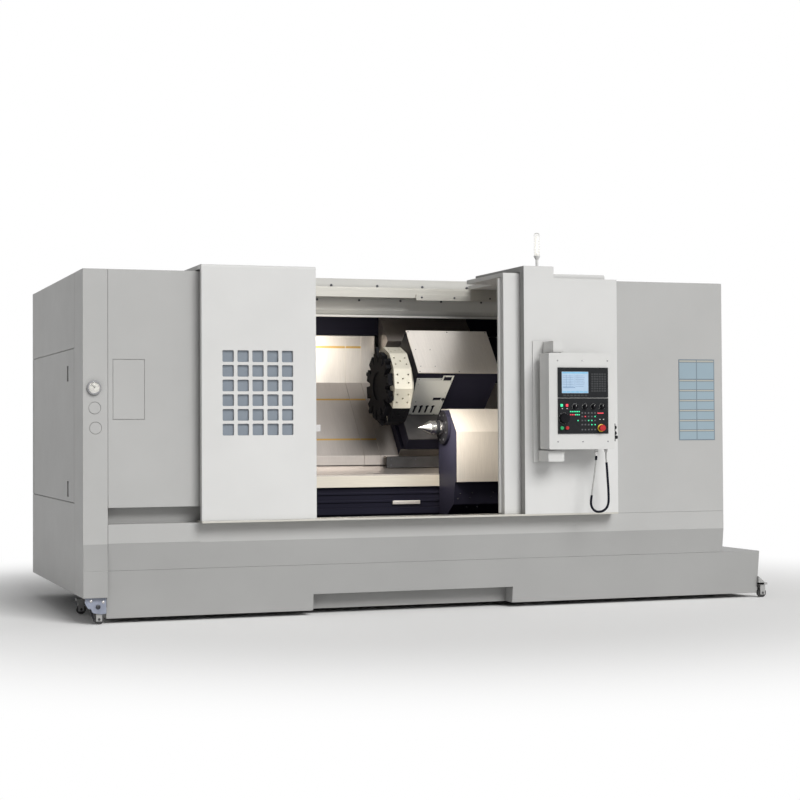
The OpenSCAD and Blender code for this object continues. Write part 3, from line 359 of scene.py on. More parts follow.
# the band above the skirt's fold has the cabinets' paint, while below the fold the darker base paint stays as
# painted shade for the band's backward lean; the lower tailstock way is painted navy as painted shade
SKIRT_FOLD_Z = 473
LOWER_WAY_Z = 640
repaint("front_skirt", grey_paint, lambda x, y, z: z > SKIRT_FOLD_Z)
repaint("guideways", navy_paint, lambda x, y, z: z < LOWER_WAY_Z)

# darker copy of the brushed sheet on the way covers below their fold as painted shade, and near-black paint
# on the slide's lower end and the apron as painted shadow
COVER_FOLD_Y = 1500
SLIDE_END_Z = 1300
APRON_TOP_Z = 958
APRON_BACK_Y = 1060
for cover in ("way_cover_fixed", "way_cover_inner", "way_cover_middle", "way_cover_outer", "way_cover_right"):
    # cover faces below the fold get the darker sheet as painted shade
    repaint(cover, shade_darkened_sheet, lambda x, y, z: y < COVER_FOLD_Y)
repaint("turret_cover", shadow_dark_iron, lambda x, y, z: z < SLIDE_END_Z)
repaint("way_cover_outer", shadow_dark_iron, lambda x, y, z: z < APRON_TOP_Z and y < APRON_BACK_Y)

# blackened turret hub, and the lower stations blackened as painted shade under the disc
HUB_FACE_X = 2177.5
LOWER_STATIONS_Z = 1290
repaint("turret_disc", blackened, lambda x, y, z: x < HUB_FACE_X or z < LOWER_STATIONS_Z)

# left faces with painted light: darker grey on the housing as painted shade, lighter white on the pendant and
# its arms as painted highlight
HOUSING_LEFT_X = 2770.5
HOUSING_STEP_X = (2905, 2906.5)
PENDANT_LEFT_X = 2850.5
LOWER_ARM_X = 2859.5
UPPER_ARM_X = (2896.5, 2897.5)
repaint("right_housing", housing_shade_grey,
        lambda x, y, z: x < HOUSING_LEFT_X or HOUSING_STEP_X[0] < x < HOUSING_STEP_X[1])
repaint("pendant_box", pendant_lit_white, lambda x, y, z: x < PENDANT_LEFT_X)
repaint("pendant_bracket", pendant_lit_white,
        lambda x, y, z: x < LOWER_ARM_X or UPPER_ARM_X[0] < x < UPPER_ARM_X[1])

# whole pieces whose look is finer than their slot
FINER_LOOKS = {
    "bed_guard": shade_darkened_sheet,
    "guideways": guide_steel,
    "turret_disc": disc_steel,
    "service_plate": plate_white,
    "lamp_post": light_paint,
    "tool_holders": blackened,
    "handwheel": blackened,
}
for i in range(1, 5):
    FINER_LOOKS[f"knob_{i}"] = blackened
for i in range(1, 4):
    FINER_LOOKS[f"jaw_{i}"] = bright_steel
for node, material in FINER_LOOKS.items():
    nodes[node].data.materials[0] = material


# mesh helpers
def finish_piece(name, bm, material, body):
    """Turns a bmesh into a piece that rides on a body."""
    bmesh.ops.recalc_face_normals(bm, faces=bm.faces)
    mesh = bpy.data.meshes.new(name)
    bm.to_mesh(mesh)
    bm.free()
    piece = bpy.data.objects.new(name, mesh)
    bpy.context.scene.collection.objects.link(piece)
    mesh.materials.append(material)
    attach(piece, body)
    return piece


def smooth_sides(piece, angle=35):
    """Smooth shading across faces that meet at a shallow angle."""
    mesh = piece.data
    limit = math.radians(angle)
    bm = bmesh.new()
    bm.from_mesh(mesh)
    for face in bm.faces:
        face.smooth = True
    for edge in bm.edges:
        edge.smooth = len(edge.link_faces) == 2 and edge.calc_face_angle(0) < limit
    bm.to_mesh(mesh)
    bm.free()


def side_axes(axis):
    axis = axis.normalized()
    first = Z_AXIS if abs(axis.z) < 0.9 else X_AXIS
    u = axis.cross(first).normalized()
    return u, axis.cross(u).normalized()


def lathe(bm, centre, axis, profile, sides=24, turn=0.0, hole=False):
    """Solid of revolution: profile is (radius, height) in mm from the base up; with a hole it is a ring."""
    axis = axis.normalized()
    u, v = side_axes(axis)
    rings = []
    for radius, height in profile:
        middle = centre + axis * (height / 1000)
        if radius < 1e-6:
            rings.append([bm.verts.new(middle)])
            continue
        ring = []
        for i in range(sides):
            a = 2 * math.pi * i / sides + turn
            ring.append(bm.verts.new(middle + (u * math.cos(a) + v * math.sin(a)) * (radius / 1000)))
        rings.append(ring)
    pairs = list(zip(rings, rings[1:]))
    if hole:
        pairs.append((rings[-1], rings[0]))
    for low, high in pairs:
        for i in range(sides):
            j = (i + 1) % sides
            if len(low) == 1 and len(high) == 1:
                continue
            if len(low) == 1:
                bm.faces.new((low[0], high[i], high[j]))
            elif len(high) == 1:
                bm.faces.new((low[i], low[j], high[0]))
            else:
                bm.faces.new((low[i], low[j], high[j], high[i]))
    for ring in (rings[0], rings[-1]):
        if len(ring) > 1 and not hole:
            bm.faces.new(ring)


def slab(bm, corner, du, dv, dw, edge=0.0):
    """Box from one corner along three edge vectors, with its edges chamfered by edge mm."""
    points = []
    for k in (0, 1):
        for j in (0, 1):
            for i in (0, 1):
                points.append(bm.verts.new(corner + du * i + dv * j + dw * k))
    faces = []
    for ids in ((0, 1, 3, 2), (4, 6, 7, 5), (0, 4, 5, 1), (2, 3, 7, 6), (0, 2, 6, 4), (1, 5, 7, 3)):
        faces.append(bm.faces.new([points[i] for i in ids]))
    if edge:
        edges = {e for f in faces for e in f.edges}
        bmesh.ops.bevel(bm, geom=list(edges), offset=edge / 1000, segments=2, profile=0.6, affect="EDGES")


def box(bm, x, y, z, edge=0.0):
    """Box between machine coordinates."""
    low = at(x[0], y[0], z[0])
    high = at(x[1], y[1], z[1])
    size = high - low
    slab(bm, low, X_AXIS * size.x, Y_AXIS * size.y, Z_AXIS * size.z, edge)


def screw(bm, centre, axis, radius, height=None, turn=0.0):
    """Button head with a hexagon socket."""
    height = height or radius * 0.55
    lathe(bm, centre, axis, [
        (radius, -0.5), (radius, height * 0.45), (radius * 0.86, height * 0.85), (radius * 0.6, height),
        (radius * 0.48, height), (radius * 0.46, height * 0.4), (0, height * 0.3)
    ], 18, turn)


# screws, strips and plates on the frame
def screws(name, places, axis, radius, material, body):
    bm = bmesh.new()
    for i, centre in enumerate(places):
        screw(bm, centre, axis, radius, turn=0.4 * i)
    piece = finish_piece(name, bm, material, body)
    smooth_sides(piece)
    return piece


def plates(name, boxes, material, body, edge=1.0):
    """One piece of several chamfered boxes, each given as x, y and z ranges in mm."""
    bm = bmesh.new()
    for x, y, z in boxes:
        box(bm, x, y, z, edge)
    return finish_piece(name, bm, material, body)


def slope_plates(name, boxes, material, body, edge=0.0):
    """Boxes in the slope's own axes: x, s up the slope and n off it."""
    bm = bmesh.new()
    for x, s, n in boxes:
        du = X_AXIS * ((x[1] - x[0]) / 1000)
        dv = UP_SLOPE * ((s[1] - s[0]) / 1000)
        dw = OFF_SLOPE * ((n[1] - n[0]) / 1000)
        slab(bm, on_slope(x[0], s[0], n[0]), du, dv, dw, edge)
    return finish_piece(name, bm, material, body)


def tick(bm, middle, angle, reach, length, width, depth=0.0003):
    """Radial mark on a front face, in metres, from reach outward of the middle."""
    outward = X_AXIS * math.cos(angle) + Z_AXIS * math.sin(angle)
    across = X_AXIS * -math.sin(angle) + Z_AXIS * math.cos(angle)
    start = middle + outward * reach - across * (width / 2)
    slab(bm, start, outward * length, across * width, FRONT * depth)


BEAM_Y = 1060
BEAM_STEP = 70
fascia_places = [at(1526 + 328 * i, BEAM_Y, 2118) for i in range(6)]
beam_places = [at(1474 + 300 * i, BEAM_Y + BEAM_STEP, 2025) for i in range(7)]
screws("fascia_screws", fascia_places, FRONT, 9, dark_steel, "machine")
screws("beam_screws", beam_places, FRONT, 8, dark_steel, "machine")

# lower bands of the corner post in the darker base paint as painted shade for the leaning lower band, and the
# seam on the sill of the right cabinet
POST_W = 145
post_bands = [((1, POST_W - 1), (-0.8, 0.2), z) for z in ((160, 312), (315, 472))]
plates("post_bands", post_bands, base_paint, "machine", 0.4)
plates("sill_seam", [((3422, 4238), (-0.3, 0.2), (586.5, 589.5)), ((148, 700), (-0.3, 0.2), (472.5, 475))],
       base_paint, "machine", 0.1)


# brass guide strips that the way covers run on
COVER_Y = 1511.08
COVER_N = -400.0
COVER_STEP = 5.6
STRIP = 0.3


def guide_strips(name, x, level, body):
    shift = level * COVER_STEP
    y = COVER_Y + shift
    bm = bmesh.new()
    box(bm, x, (y - STRIP, y + 0.5), (1713, 1728))
    n = COVER_N - shift * math.sin(SLANT)
    for s in (235, 597):
        lift = s + shift * math.cos(SLANT)
        slab(bm, on_slope(x[0], lift - 8, n - 0.5), X_AXIS * ((x[1] - x[0]) / 1000),
             UP_SLOPE * 0.015, OFF_SLOPE * ((STRIP + 0.5) / 1000))
    return finish_piece(name, bm, brass, body)


guide_strips("guide_strips_fixed", (1414, 1798), 3, "machine")
guide_strips("guide_strips_inner", (1748, 2134), 2, "cover_inner")
guide_strips("guide_strips_middle", (2098, 2234), 1, "cover_middle")


# turret: inset plate on the cover, screws, and the socket on the service plate
COVER_TOP = 236.0
HOUSE_X = 2355
PLATE_S = 280.0
slope_plates("turret_inset", [((2376, 2496), (330, 498), (COVER_TOP - 1, COVER_TOP + 1.2))], brushed_sheet,
             "cross_slide", 0.5)
inset_corners = [on_slope(x, s, COVER_TOP + 1.2) for x in (2384, 2488) for s in (338, 490)]
screws("turret_inset_screws", inset_corners, OFF_SLOPE, 3, dark_steel, "cross_slide")
cover_corners = [on_slope(x, s, COVER_TOP) for x in (2368, 2650, 2932) for s in (292, 654)]
screws("turret_cover_screws", cover_corners, OFF_SLOPE, 4, dark_steel, "cross_slide")


def service_fittings():
    """Round socket and small screws on the service plate."""
    bm = bmesh.new()
    lathe(bm, on_slope(HOUSE_X + 250, PLATE_S + 0.2, -33), -UP_SLOPE, [
        (9, -4), (13, -0.5), (13, 3), (11.5, 4.5), (9, 4.5), (8.5, 0.5), (3, 0.5), (3, 3), (0, 3)
    ], 28)
    smooth_sides(finish_piece("service_socket", bm, dark_steel, "cross_slide"))
    places = [on_slope(HOUSE_X + x, PLATE_S, n) for x, n in (
        (24, 168), (182, 168), (200, 199), (258, 146), (256, -60), (60, -60), (228, -190), (54, -190)
    )]
    screws("service_screws", places, -UP_SLOPE, 3.5, dark_steel, "cross_slide")


service_fittings()


# tailstock: flange ring with screws, dark ring in the quill's groove, screws on the lower skirt
TAIL_X = 2542
QUILL_TIP = 2465
# the skirt leans back by 30 mm over 146 mm from its top edge, given as y and z
SKIRT_TOP = (540, 786)
SKIRT_DROP = 146
SKIRT_BACK = 30
SKIRT_SCREWS = [
    (2585, 712), (2668, 716), (2820, 716), (2570, 676), (2655, 680), (2806, 684), (2634, 622), (2712, 622)
]


def tailstock_fittings():
    axis_at = at(TAIL_X - 20, SPINDLE_Y, SPINDLE_Z)
    bm = bmesh.new()
    lathe(bm, axis_at, -X_AXIS, [
        (52, -0.5), (111, -0.5), (111, 1.5), (109, 3), (66, 3), (63, 6), (54, 6), (52, 4)
    ], 64, hole=True)
    smooth_sides(finish_piece("tail_flange", bm, blackened, "tailstock"))
    places = []
    for i in range(8):
        a = math.radians(22.5 + 45 * i)
        places.append(at(TAIL_X - 23, SPINDLE_Y + 88 * math.cos(a), SPINDLE_Z + 88 * math.sin(a)))
    screws("tail_flange_screws", places, -X_AXIS, 7, dark_steel, "tailstock")
    bm = bmesh.new()
    lathe(bm, at(QUILL_TIP, SPINDLE_Y, SPINDLE_Z), X_AXIS, [
        (42.2, 5), (46, 5), (46.6, 6.5), (46.6, 27.5), (46, 29), (42.2, 29)
    ], 48, hole=True)
    smooth_sides(finish_piece("quill_ring", bm, black_panel, "quill"))
    lean = Vector((0, -SKIRT_DROP, -SKIRT_BACK)).normalized()
    places = []
    for x, z in SKIRT_SCREWS:
        places.append(at(x, SKIRT_TOP[0] + (SKIRT_TOP[1] - z) * SKIRT_BACK / SKIRT_DROP, z))
    screws("tail_skirt_screws", places, lean, 4, gauge_metal, "tailstock")


tailstock_fittings()


# bed front between the tailstock ways: two ribs and a small bright stop plate
def bed_front():
    ribs = [((1504, 3856), (852, 860.2), (z, z + 16)) for z in (652, 704)]
    plates("bed_ribs", ribs, navy_paint, "machine", 3)
    stop = [((2212, 2408), (846, 860.2), (636, 660))]
    plates("bed_stop", stop, brushed_sheet, "machine", 2)


bed_front()


# screws of the stop bar and of the saddle's apron
bar_screws = [at(x, 988, 2042) for x in (2480, 2719, 2984, 3240)]
screws("stop_bar_screws", bar_screws, FRONT, 7, dark_steel, "machine")
apron_screws = [at(x, 1019.5, z) for x in (2262, 2440, 2618) for z in (895, 935)]
screws("apron_screws", apron_screws, FRONT, 5, dark_steel, "carriage")


# pressure gauge: dial, ticks, needle and lens
GAUGE = (64, 1394)


def gauge_dial():
    bm = bmesh.new()
    lathe(bm, at(GAUGE[0], -16.5, GAUGE[1]), FRONT, [(33, 0), (33, 0.6), (0, 0.6)], 48)
    finish_piece("gauge_dial", bm, dial_white, "machine")
    bm = bmesh.new()
    for i in range(21):
        length = 0.006 if i % 5 == 0 else 0.0035
        angle = math.radians(225 - 13.5 * i)
        tick(bm, at(GAUGE[0], -17.1, GAUGE[1]), angle, 0.030 - length, length, 0.0008)
    tick(bm, at(GAUGE[0], -17.4, GAUGE[1]), math.radians(130), -0.008, 0.033, 0.0018, 0.0006)
    lathe(bm, at(GAUGE[0], -17.1, GAUGE[1]), FRONT, [(4, 0), (4, 1.2), (2.5, 1.8), (0, 1.8)], 20)
    finish_piece("gauge_marks", bm, black_panel, "machine")
    bm = bmesh.new()
    lathe(bm, at(GAUGE[0], -20.2, GAUGE[1]), FRONT, [(32.8, 0), (32.8, 1), (28, 2), (0, 2.4)], 48)
    smooth_sides(finish_piece("gauge_lens", bm, lamp_clear, "machine"))


gauge_dial()


# sunk grips of the side door
def side_grips():
    bm = bmesh.new()
    for z in (736, 1446):
        box(bm, (10, 15.9), (536, 594), (z + 1, z + 94), 1.0)
        box(bm, (1.5, 10.5), (540, 560), (z + 8, z + 87), 3.0)
    finish_piece("side_grips", bm, grip_plastic, "side_door")


side_grips()


# control pendant
PENDANT_X = 2850
PENDANT_Z = 1008
PANEL_Y = -306
SCREEN = (2909, 1333)
SUNK = PANEL_Y + 3
KNOBS_X = (174, 243, 301, 360)
KNOBS_Z = 267


def pendant_screen():
    x0 = SCREEN[0] + 26
    z0 = SCREEN[1] + 26
    plates("screen_face", [((x0 + 0.5, x0 + 183.5), (SUNK - 0.8, SUNK + 0.2), (z0 + 0.5, z0 + 135.5))],
           screen_blue, "pendant", 0)
    y = (SUNK - 1.1, SUNK - 0.7)
    lines = []
    for i in range(7):
        z = z0 + 42 + 11 * i
        lines.append(((x0 + 8, x0 + 82), y, (z, z + 1.6)))
        lines.append(((x0 + 96, x0 + 150 + 4 * (i % 3)), y, (z, z + 1.6)))
    for x in (32, 57, 90):
        lines.append(((x0 + x, x0 + x + 1.2), y, (z0 + 38, z0 + 116)))
    lines.append(((x0 + 8, x0 + 92), y, (z0 + 34, z0 + 37)))
    plates("screen_lines", lines, screen_line, "pendant", 0)
    heads = [((x0 + 4, x0 + 180), y, (z0 + 124, z0 + 132))]
    for i in range(6):
        heads.append(((x0 + 5 + 29.5 * i, x0 + 31 + 29.5 * i), y, (z0 + 4, z0 + 12)))
    plates("screen_bars", heads, screen_head, "pendant", 0)


PANEL_TOP = 1327
KEY_Y = (PANEL_Y - 1.6, PANEL_Y + 0.3)


def panel_keys(places, width, height):
    """Keys by their middles: mm right of the panel's left edge and below its top."""
    keys = []
    for across, down in places:
        x = SCREEN[0] + across
        z = PANEL_TOP - down
        keys.append(((x - width / 2, x + width / 2), KEY_Y, (z - height / 2, z + height / 2)))
    return keys


def display_keys():
    """Key field beside the screen and the soft keys below it."""
    keys = []
    for row in range(8):
        for col in range(6):
            x = SCREEN[0] + 228 + col * 17.5
            z = SCREEN[1] + 140 - row * 15
            keys.append(((x, x + 14), KEY_Y, (z, z + 11)))
    for i in range(7):
        x = SCREEN[0] + 34 + i * 24.5
        keys.append(((x, x + 18), KEY_Y, (SCREEN[1] + 7, SCREEN[1] + 17)))
    plates("display_keys", keys, key_grey, "pendant", 0.7)


def pendant_keys():
    """Small lit keys of the operator panel in their two groups."""
    columns = (84, 96, 108, 119.5, 131, 143)
    green = [(x, 83) for x in columns] + [(x, 102.6) for x in columns[3:]]
    green += [(135, 139), (252.5, 114), (208, 139), (230, 139), (230, 165), (252.5, 165)]
    red = [(x, 102.6) for x in columns[:3]] + [(185, 114)]
    dim = []
    for x in (164, 185, 208, 230, 252.5):
        for down in (92, 114, 139, 165, 196):
            if (x, down) not in green and (x, down) not in red:
                dim.append((x, down))
    pale = [(286, 132), (311, 132), (28, 64), (60.6, 64)]
    plates("keys_dim", panel_keys(dim, 11, 9), key_dim, "pendant", 0.7)
    plates("keys_pale", panel_keys(pale, 8, 5), key_white, "pendant", 0.7)
    plates("keys_green", panel_keys(green, 8, 7), lamp_green, "pendant", 0.7)
    bar = panel_keys([(290, 93)], 42, 6)
    plates("keys_red", panel_keys(red, 8, 7) + bar, lamp_red, "pendant", 0.7)


def pendant_marks():
    """Scale ticks round the knobs, pilot lamps and the ring under the stop button."""
    bm = bmesh.new()
    for x in KNOBS_X:
        middle = at(PENDANT_X + x, PANEL_Y, PENDANT_Z + KNOBS_Z)
        for i in range(11):
            tick(bm, middle, math.radians(210 - 24 * i), 0.0165, 0.004, 0.0012)
    middle = at(PENDANT_X + 98, PANEL_Y, PENDANT_Z + 194)
    for i in range(40):
        length = 0.004 if i % 10 == 0 else 0.0025
        tick(bm, middle, 2 * math.pi * i / 40, 0.034, length, 0.0008)
    finish_piece("panel_ticks", bm, key_white, "pendant")
    lamps = ((81, lamp_green, "green_plastic"), (117, lamp_red, "red_plastic"))
    for x, material, slot in lamps:
        middle = PENDANT_X + x
        z = PENDANT_Z + 275
        cap = [((middle - 8.5, middle + 8.5), (PANEL_Y - 6.5, PANEL_Y - 3.9), (z - 8.5, z + 8.5))]
        plates("pilot_lamp_" + str(x), cap, material, "pendant", 1.5)
    bm = bmesh.new()
    lathe(bm, at(PENDANT_X + 352, PANEL_Y - 3.8, PENDANT_Z + 133), FRONT, [
        (11, 0), (24.4, 0), (24.4, 0.8), (23, 1.6), (12.5, 1.6), (11, 0.9)
    ], 40, hole=True)
    smooth_sides(finish_piece("stop_ring", bm, yellow_plastic, "pendant"))


def knob_marks():
    y = (PANEL_Y - 20.9, PANEL_Y - 19.8)
    z = PENDANT_Z + KNOBS_Z
    for i, x in enumerate(KNOBS_X, 1):
        middle = PENDANT_X + x
        line = [((middle - 1, middle + 1), y, (z + 2, z + 11.5))]
        plates(f"knob_mark_{i}", line, key_white, f"knob_{i}", 0)


def pendant_hardware():
    places = []
    for x in (59, 230, 403):
        for z in (48, 556):
            places.append(at(PENDANT_X + x, -300, PENDANT_Z + z))
    screws("pendant_screws", places, FRONT, 4.5, gauge_metal, "pendant")
    bm = bmesh.new()
    wall = PENDANT_X + 450
    for z, reach in ((74, 30), (100, 22), (136, 22)):
        lathe(bm, at(wall - 0.5, -278, PENDANT_Z + z), X_AXIS, [
            (14, 0), (14, 8), (11, 9), (11, reach - 2), (9, reach), (0, reach)
        ], 24)
    box(bm, (wall - 0.5, wall + 9), (-294, -262), (PENDANT_Z + 48, PENDANT_Z + 160), 1.5)
    smooth_sides(finish_piece("side_connectors", bm, black_panel, "pendant"))


pendant_screen()
display_keys()
pendant_keys()
pendant_marks()
knob_marks()
pendant_hardware()


# cable loop under the pendant, with a corrugated sleeve round its lower part
CABLE_Y = -230
CABLE_END = 18.7
# mm right of the pendant's left edge and below its underside
CABLE_ROUTE = [
    (354, CABLE_END), (354, 45), (351, 80), (346, 120), (340, 165), (333, 210), (326, 255),
    (319, 300), (315, 333), (317, 355), (325, 374), (339, 388), (357, 396), (377, 397),
    (396, 393), (413, 383), (427, 368), (435, 348), (438, 325), (438, 285), (436, 240),
    (433, 195), (430, 150), (427, 105), (424, 70), (422, 45), (422, CABLE_END)
]


def curve_piece(name, points, radius, material):
    data = bpy.data.curves.new(name, "CURVE")
    data.dimensions = "3D"
    data.bevel_depth = radius / 1000
    data.bevel_resolution = 4
    data.resolution_u = 4
    data.use_fill_caps = True
    spline = data.splines.new("POLY")
    spline.points.add(len(points) - 1)
    for point, place in zip(spline.points, points):
        point.co = (*place, 1)
    data.materials.append(material)
    piece = bpy.data.objects.new(name, data)
    bpy.context.scene.collection.objects.link(piece)
    return piece


def smooth_route(route, steps=5):
    """Points of a Catmull-Rom line through the route."""
    points = [at(PENDANT_X + x, CABLE_Y, PENDANT_Z - drop) for x, drop in route]
    padded = [2 * points[0] - points[1], *points, 2 * points[-1] - points[-2]]
    line = []
    for a, b, c, d in zip(padded, padded[1:], padded[2:], padded[3:]):
        for k in range(steps):
            t = k / steps
            line.append(0.5 * (2 * b + (c - a) * t + (2 * a - 5 * b + 4 * c - d) * t ** 2
                               + (3 * b - a - 3 * c + d) * t ** 3))
    line.append(points[-1])
    return line


def ribbed_tube(name, line, radius, depth, material, body):
    """Corrugated sleeve along a line that lies in the X-Z plane."""
    bm = bmesh.new()
    rings = []
    sides = 16
    for i, middle in enumerate(line):
        ahead = line[min(i + 1, len(line) - 1)] - line[max(i - 1, 0)]
        across = Y_AXIS.cross(ahead.normalized()).normalized()
        r = (radius - (depth if i % 2 else 0)) / 1000
        ring = []
        for k in range(sides):
            a = 2 * math.pi * k / sides
            ring.append(bm.verts.new(middle + (Y_AXIS * math.cos(a) + across * math.sin(a)) * r))
        rings.append(ring)
    for low, high in zip(rings, rings[1:]):
        for k in range(sides):
            j = (k + 1) % sides
            bm.faces.new((low[k], low[j], high[j], high[k]))
    bm.faces.new(rings[0])
    bm.faces.new(rings[-1])
    piece = finish_piece(name, bm, material, body)
    smooth_sides(piece, 80)
    return piece


def even_line(line, step):
    """The line's points again, a fixed step apart."""
    out = [line[0]]
    rest = step
    for a, b in zip(line, line[1:]):
        length = (b - a).length
        while length >= rest:
            a = a + (b - a) * (rest / length)
            length = (b - a).length
            out.append(a)
            rest = step
        rest -= length
    return out


def cable_plug(line):
    """Bright nut and black plug at the top of the left strand."""
    bm = bmesh.new()
    lathe(bm, line[0], line[4] - line[0], [
        (7, 0), (11, 1), (11.5, 3), (11.5, 10), (9.5, 12), (10, 15), (9.5, 24), (6, 26), (5, 26)
    ], 24)
    nut = finish_piece("cable_nut", bm, bright_steel, "pendant")
    smooth_sides(nut)
    bm = bmesh.new()
    lathe(bm, line[5], line[9] - line[5], [
        (5.2, -1), (7.4, 0), (7.8, 2), (7.8, 12), (7, 13), (7, 15), (7.6, 16), (7, 24), (5.2, 26)
    ], 24)
    plug = finish_piece("cable_plug", bm, cable_rubber, "pendant")
    smooth_sides(plug)
    return [nut, plug]


SLEEVE_SPLIT = 3230
SLEEVE_TOPS = (722, 928)


def pendant_cable():
    line = smooth_route(CABLE_ROUTE)
    cable = curve_piece("cable", line, 4.6, cable_grey)
    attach(cable, "pendant")
    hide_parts("pendant_cable")
    sleeve_line = []
    for point in line:
        right = point.x * 1000 + ORIGIN_X > SLEEVE_SPLIT
        if point.z * 1000 < SLEEVE_TOPS[1 if right else 0]:
            sleeve_line.append(point)
    ribs = even_line(sleeve_line, 0.003)
    sleeve = ribbed_tube("cable_sleeve", ribs, 8, 0.9, cable_rubber, "pendant")
    cable_plug(line)


pendant_cable()


# reference plate of plain fields on the right cabinet
def chart_plate():
    back = [((3916, 4181), (-1.6, 0.2), (1057, 1590))]
    plates("chart_plate", back, chart_line, "machine", 0.6)
    y = (-2.0, -1.5)
    fields = []
    strips = []
    for x in ((3922, 4045), (4051, 4175)):
        fields.append((x, y, (1462, 1568)))
        strips.append((x, y, (1572, 1584)))
        for z in (1116, 1182, 1248, 1314, 1380, 1446):
            fields.append((x, y, (z - 53, z - 3)))
            strips.append((x, y, (z, z + 9)))
    plates("chart_fields", fields, chart_blue, "machine", 0)
    plates("chart_strips", strips, chart_strip, "machine", 0)


chart_plate()


# caster plate with its two bolts at the tank's left end, and the gussets at its right end
def prism(bm, outline, y):
    """Solid between two y values over an outline of x and z, in mm."""
    near = [bm.verts.new(at(x, y[0], z)) for x, z in outline]
    far = [bm.verts.new(at(x, y[1], z)) for x, z in outline]
    bm.faces.new(near)
    bm.faces.new(far)
    for i in range(len(outline)):
        j = (i + 1) % len(outline)
        bm.faces.new((near[i], near[j], far[j], far[i]))


def caster_details():
    bm = bmesh.new()
    prism(bm, [(22, 156), (141, 156), (141, 64), (112, 60), (66, 68), (32, 98), (14, 132)], (30, 37))
    prism(bm, [(22, 156), (141, 156), (141, 149), (20, 149)], (37, 90))
    finish_piece("caster_plate", bm, caster_steel, "tank")
    screws("caster_bolt", [at(50, 30, 139), at(122, 30, 132)], FRONT, 9, bright_steel, "tank")
    screws("caster_pivot", [at(93, 30, 105)], FRONT, 14, dark_steel, "tank")
    bm = bmesh.new()
    prism(bm, [(40, 96), (50, 92), (62, 58), (72, 34), (64, 30), (54, 50)], (20, 30))
    finish_piece("caster_lever", bm, black_panel, "tank")
    bm = bmesh.new()
    for y in (34, 674):
        prism(bm, [(4521, 142), (4563, 106), (4563, 86), (4521, 86)], (y, y + 52))
    finish_piece("right_gussets", bm, base_paint, "tank")


caster_details()


# signal lamp core
def lamp_core():
    bm = bmesh.new()
    base = at(2950, 100, 2171 + 86)
    lathe(bm, base, Z_AXIS, [(6, 0.5), (6, 118), (4, 124), (0, 124)], 20)
    for i in range(6):
        lathe(bm, base, Z_AXIS, [(13, 12 + 18 * i), (13, 15 + 18 * i), (6, 15 + 18 * i)], 28)
    smooth_sides(finish_piece("lamp_core", bm, lamp_core_white, "machine"))


# dark strips under the doors
def door_strips():
    z = (600.4, 608)
    for door, x, y in (("left_door", (692, 1398), (-89, -52)), ("right_door", (2660, 3366), (-29, 8))):
        plates(door + "_strip", [(x, y, z)], door_strip_dark, door, 1)


# floor, backdrop and light; the floor fades to white between two distances in metres
FADE_START = 2.2
FADE_END = 5.2
SKY_STRENGTH = 0.22
SUN_STRENGTH = 2.5
SUN_ANGLE = 30
SUN_TOWARD = Vector((0.20, -0.79, 0.58))
SUN_COLOUR = (1.0, 0.995, 0.985)
WARM_COLOUR = (1.0, 0.93, 0.82)


def make_stage():
    bm = bmesh.new()
    bmesh.ops.create_circle(bm, cap_ends=True, radius=60, segments=64)
    mesh = bpy.data.meshes.new("floor")
    bm.to_mesh(mesh)
    bm.free()
    floor = bpy.data.objects.new("floor", mesh)
    bpy.context.scene.collection.objects.link(floor)
    floor.location.z = -0.0005
    material, tree, shader, place = start_material("floor")
    shader.inputs["Base Color"].default_value = (0.90, 0.90, 0.90, 1)
    shader.inputs["Roughness"].default_value = 0.9
    away = tree.nodes.new("ShaderNodeVectorMath")
    away.operation = "LENGTH"
    tree.links.new(place, away.inputs[0])
    fade = tree.nodes.new("ShaderNodeMapRange")
    fade.interpolation_type = "SMOOTHSTEP"
    fade.inputs["From Min"].default_value = FADE_START
    fade.inputs["From Max"].default_value = FADE_END
    tree.links.new(away.outputs["Value"], fade.inputs["Value"])
    white = tree.nodes.new("ShaderNodeEmission")
    white.inputs["Color"].default_value = (1, 1, 1, 1)
    path = tree.nodes.new("ShaderNodeLightPath")
    seen = tree.nodes.new("ShaderNodeMath")
    seen.operation = "MAXIMUM"
    tree.links.new(path.outputs["Is Camera Ray"], seen.inputs[0])
    tree.links.new(path.outputs["Is Glossy Ray"], seen.inputs[1])
    factor = tree.nodes.new("ShaderNodeMath")
    factor.operation = "MULTIPLY"
    tree.links.new(seen.outputs[0], factor.inputs[0])
    tree.links.new(fade.outputs["Result"], factor.inputs[1])
    mix = tree.nodes.new("ShaderNodeMixShader")
    tree.links.new(factor.outputs[0], mix.inputs["Fac"])
    tree.links.new(shader.outputs["BSDF"], mix.inputs[1])
    tree.links.new(white.outputs["Emission"], mix.inputs[2])
    tree.links.new(mix.outputs["Shader"], tree.nodes["Material Output"].inputs["Surface"])
    mesh.materials.append(material)


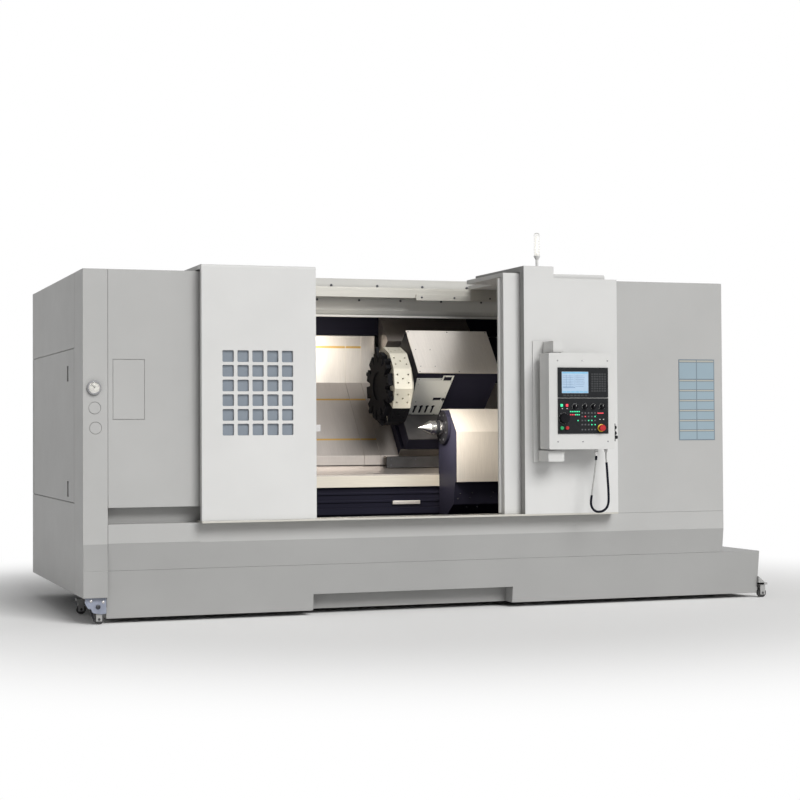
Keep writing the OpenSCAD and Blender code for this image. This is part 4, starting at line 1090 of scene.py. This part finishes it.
def make_world():
    world = bpy.data.worlds.new("studio")
    bpy.context.scene.world = world
    world.use_nodes = True
    tree = world.node_tree
    tree.nodes.clear()
    soft = tree.nodes.new("ShaderNodeBackground")
    soft.inputs["Color"].default_value = (*SUN_COLOUR, 1)
    soft.inputs["Strength"].default_value = SKY_STRENGTH
    white = tree.nodes.new("ShaderNodeBackground")
    white.inputs["Color"].default_value = (1, 1, 1, 1)
    white.inputs["Strength"].default_value = 1.0
    path = tree.nodes.new("ShaderNodeLightPath")
    first = tree.nodes.new("ShaderNodeMath")
    first.operation = "MAXIMUM"
    tree.links.new(path.outputs["Is Camera Ray"], first.inputs[0])
    tree.links.new(path.outputs["Is Glossy Ray"], first.inputs[1])
    second = tree.nodes.new("ShaderNodeMath")
    second.operation = "MAXIMUM"
    tree.links.new(first.outputs[0], second.inputs[0])
    tree.links.new(path.outputs["Is Transmission Ray"], second.inputs[1])
    mix = tree.nodes.new("ShaderNodeMixShader")
    tree.links.new(second.outputs[0], mix.inputs["Fac"])
    tree.links.new(soft.outputs["Background"], mix.inputs[1])
    tree.links.new(white.outputs["Background"], mix.inputs[2])
    out = tree.nodes.new("ShaderNodeOutputWorld")
    tree.links.new(mix.outputs["Shader"], out.inputs["Surface"])


def make_key_light():
    data = bpy.data.lights.new("key", "SUN")
    data.energy = SUN_STRENGTH
    data.angle = math.radians(SUN_ANGLE)
    data.color = SUN_COLOUR
    light = bpy.data.objects.new("key", data)
    bpy.context.scene.collection.objects.link(light)
    light.rotation_mode = "QUATERNION"
    light.rotation_quaternion = SUN_TOWARD.to_track_quat("Z", "Y")


def make_work_lamp(name, place, target, size, watts, beam):
    """Warm lamp inside the work space that the camera does not see; its beam is given in degrees."""
    data = bpy.data.lights.new(name, "AREA")
    data.shape = "RECTANGLE"
    data.size, data.size_y = size
    data.spread = math.radians(beam)
    data.energy = watts
    data.color = WARM_COLOUR
    light = bpy.data.objects.new(name, data)
    bpy.context.scene.collection.objects.link(light)
    light.location = place
    light.rotation_mode = "QUATERNION"
    light.rotation_quaternion = (place - target).to_track_quat("Z", "Y")
    light.visible_camera = False


door_strips()
lamp_core()
make_stage()
make_world()
make_key_light()
make_work_lamp("work_lamp_top", at(1780, 640, 1780), at(1780, 1511, 1680), (0.7, 0.2), 0.9, 70)
make_work_lamp("work_lamp_left", at(1440, 150, 1050), at(2600, 640, 1120), (0.25, 0.8), 1.8, 80)
make_work_lamp("work_lamp_tail", at(2000, 170, 1480), at(2680, 600, 1060), (0.3, 0.3), 4.8, 56)
bpy.context.scene.view_settings.view_transform = "Standard"
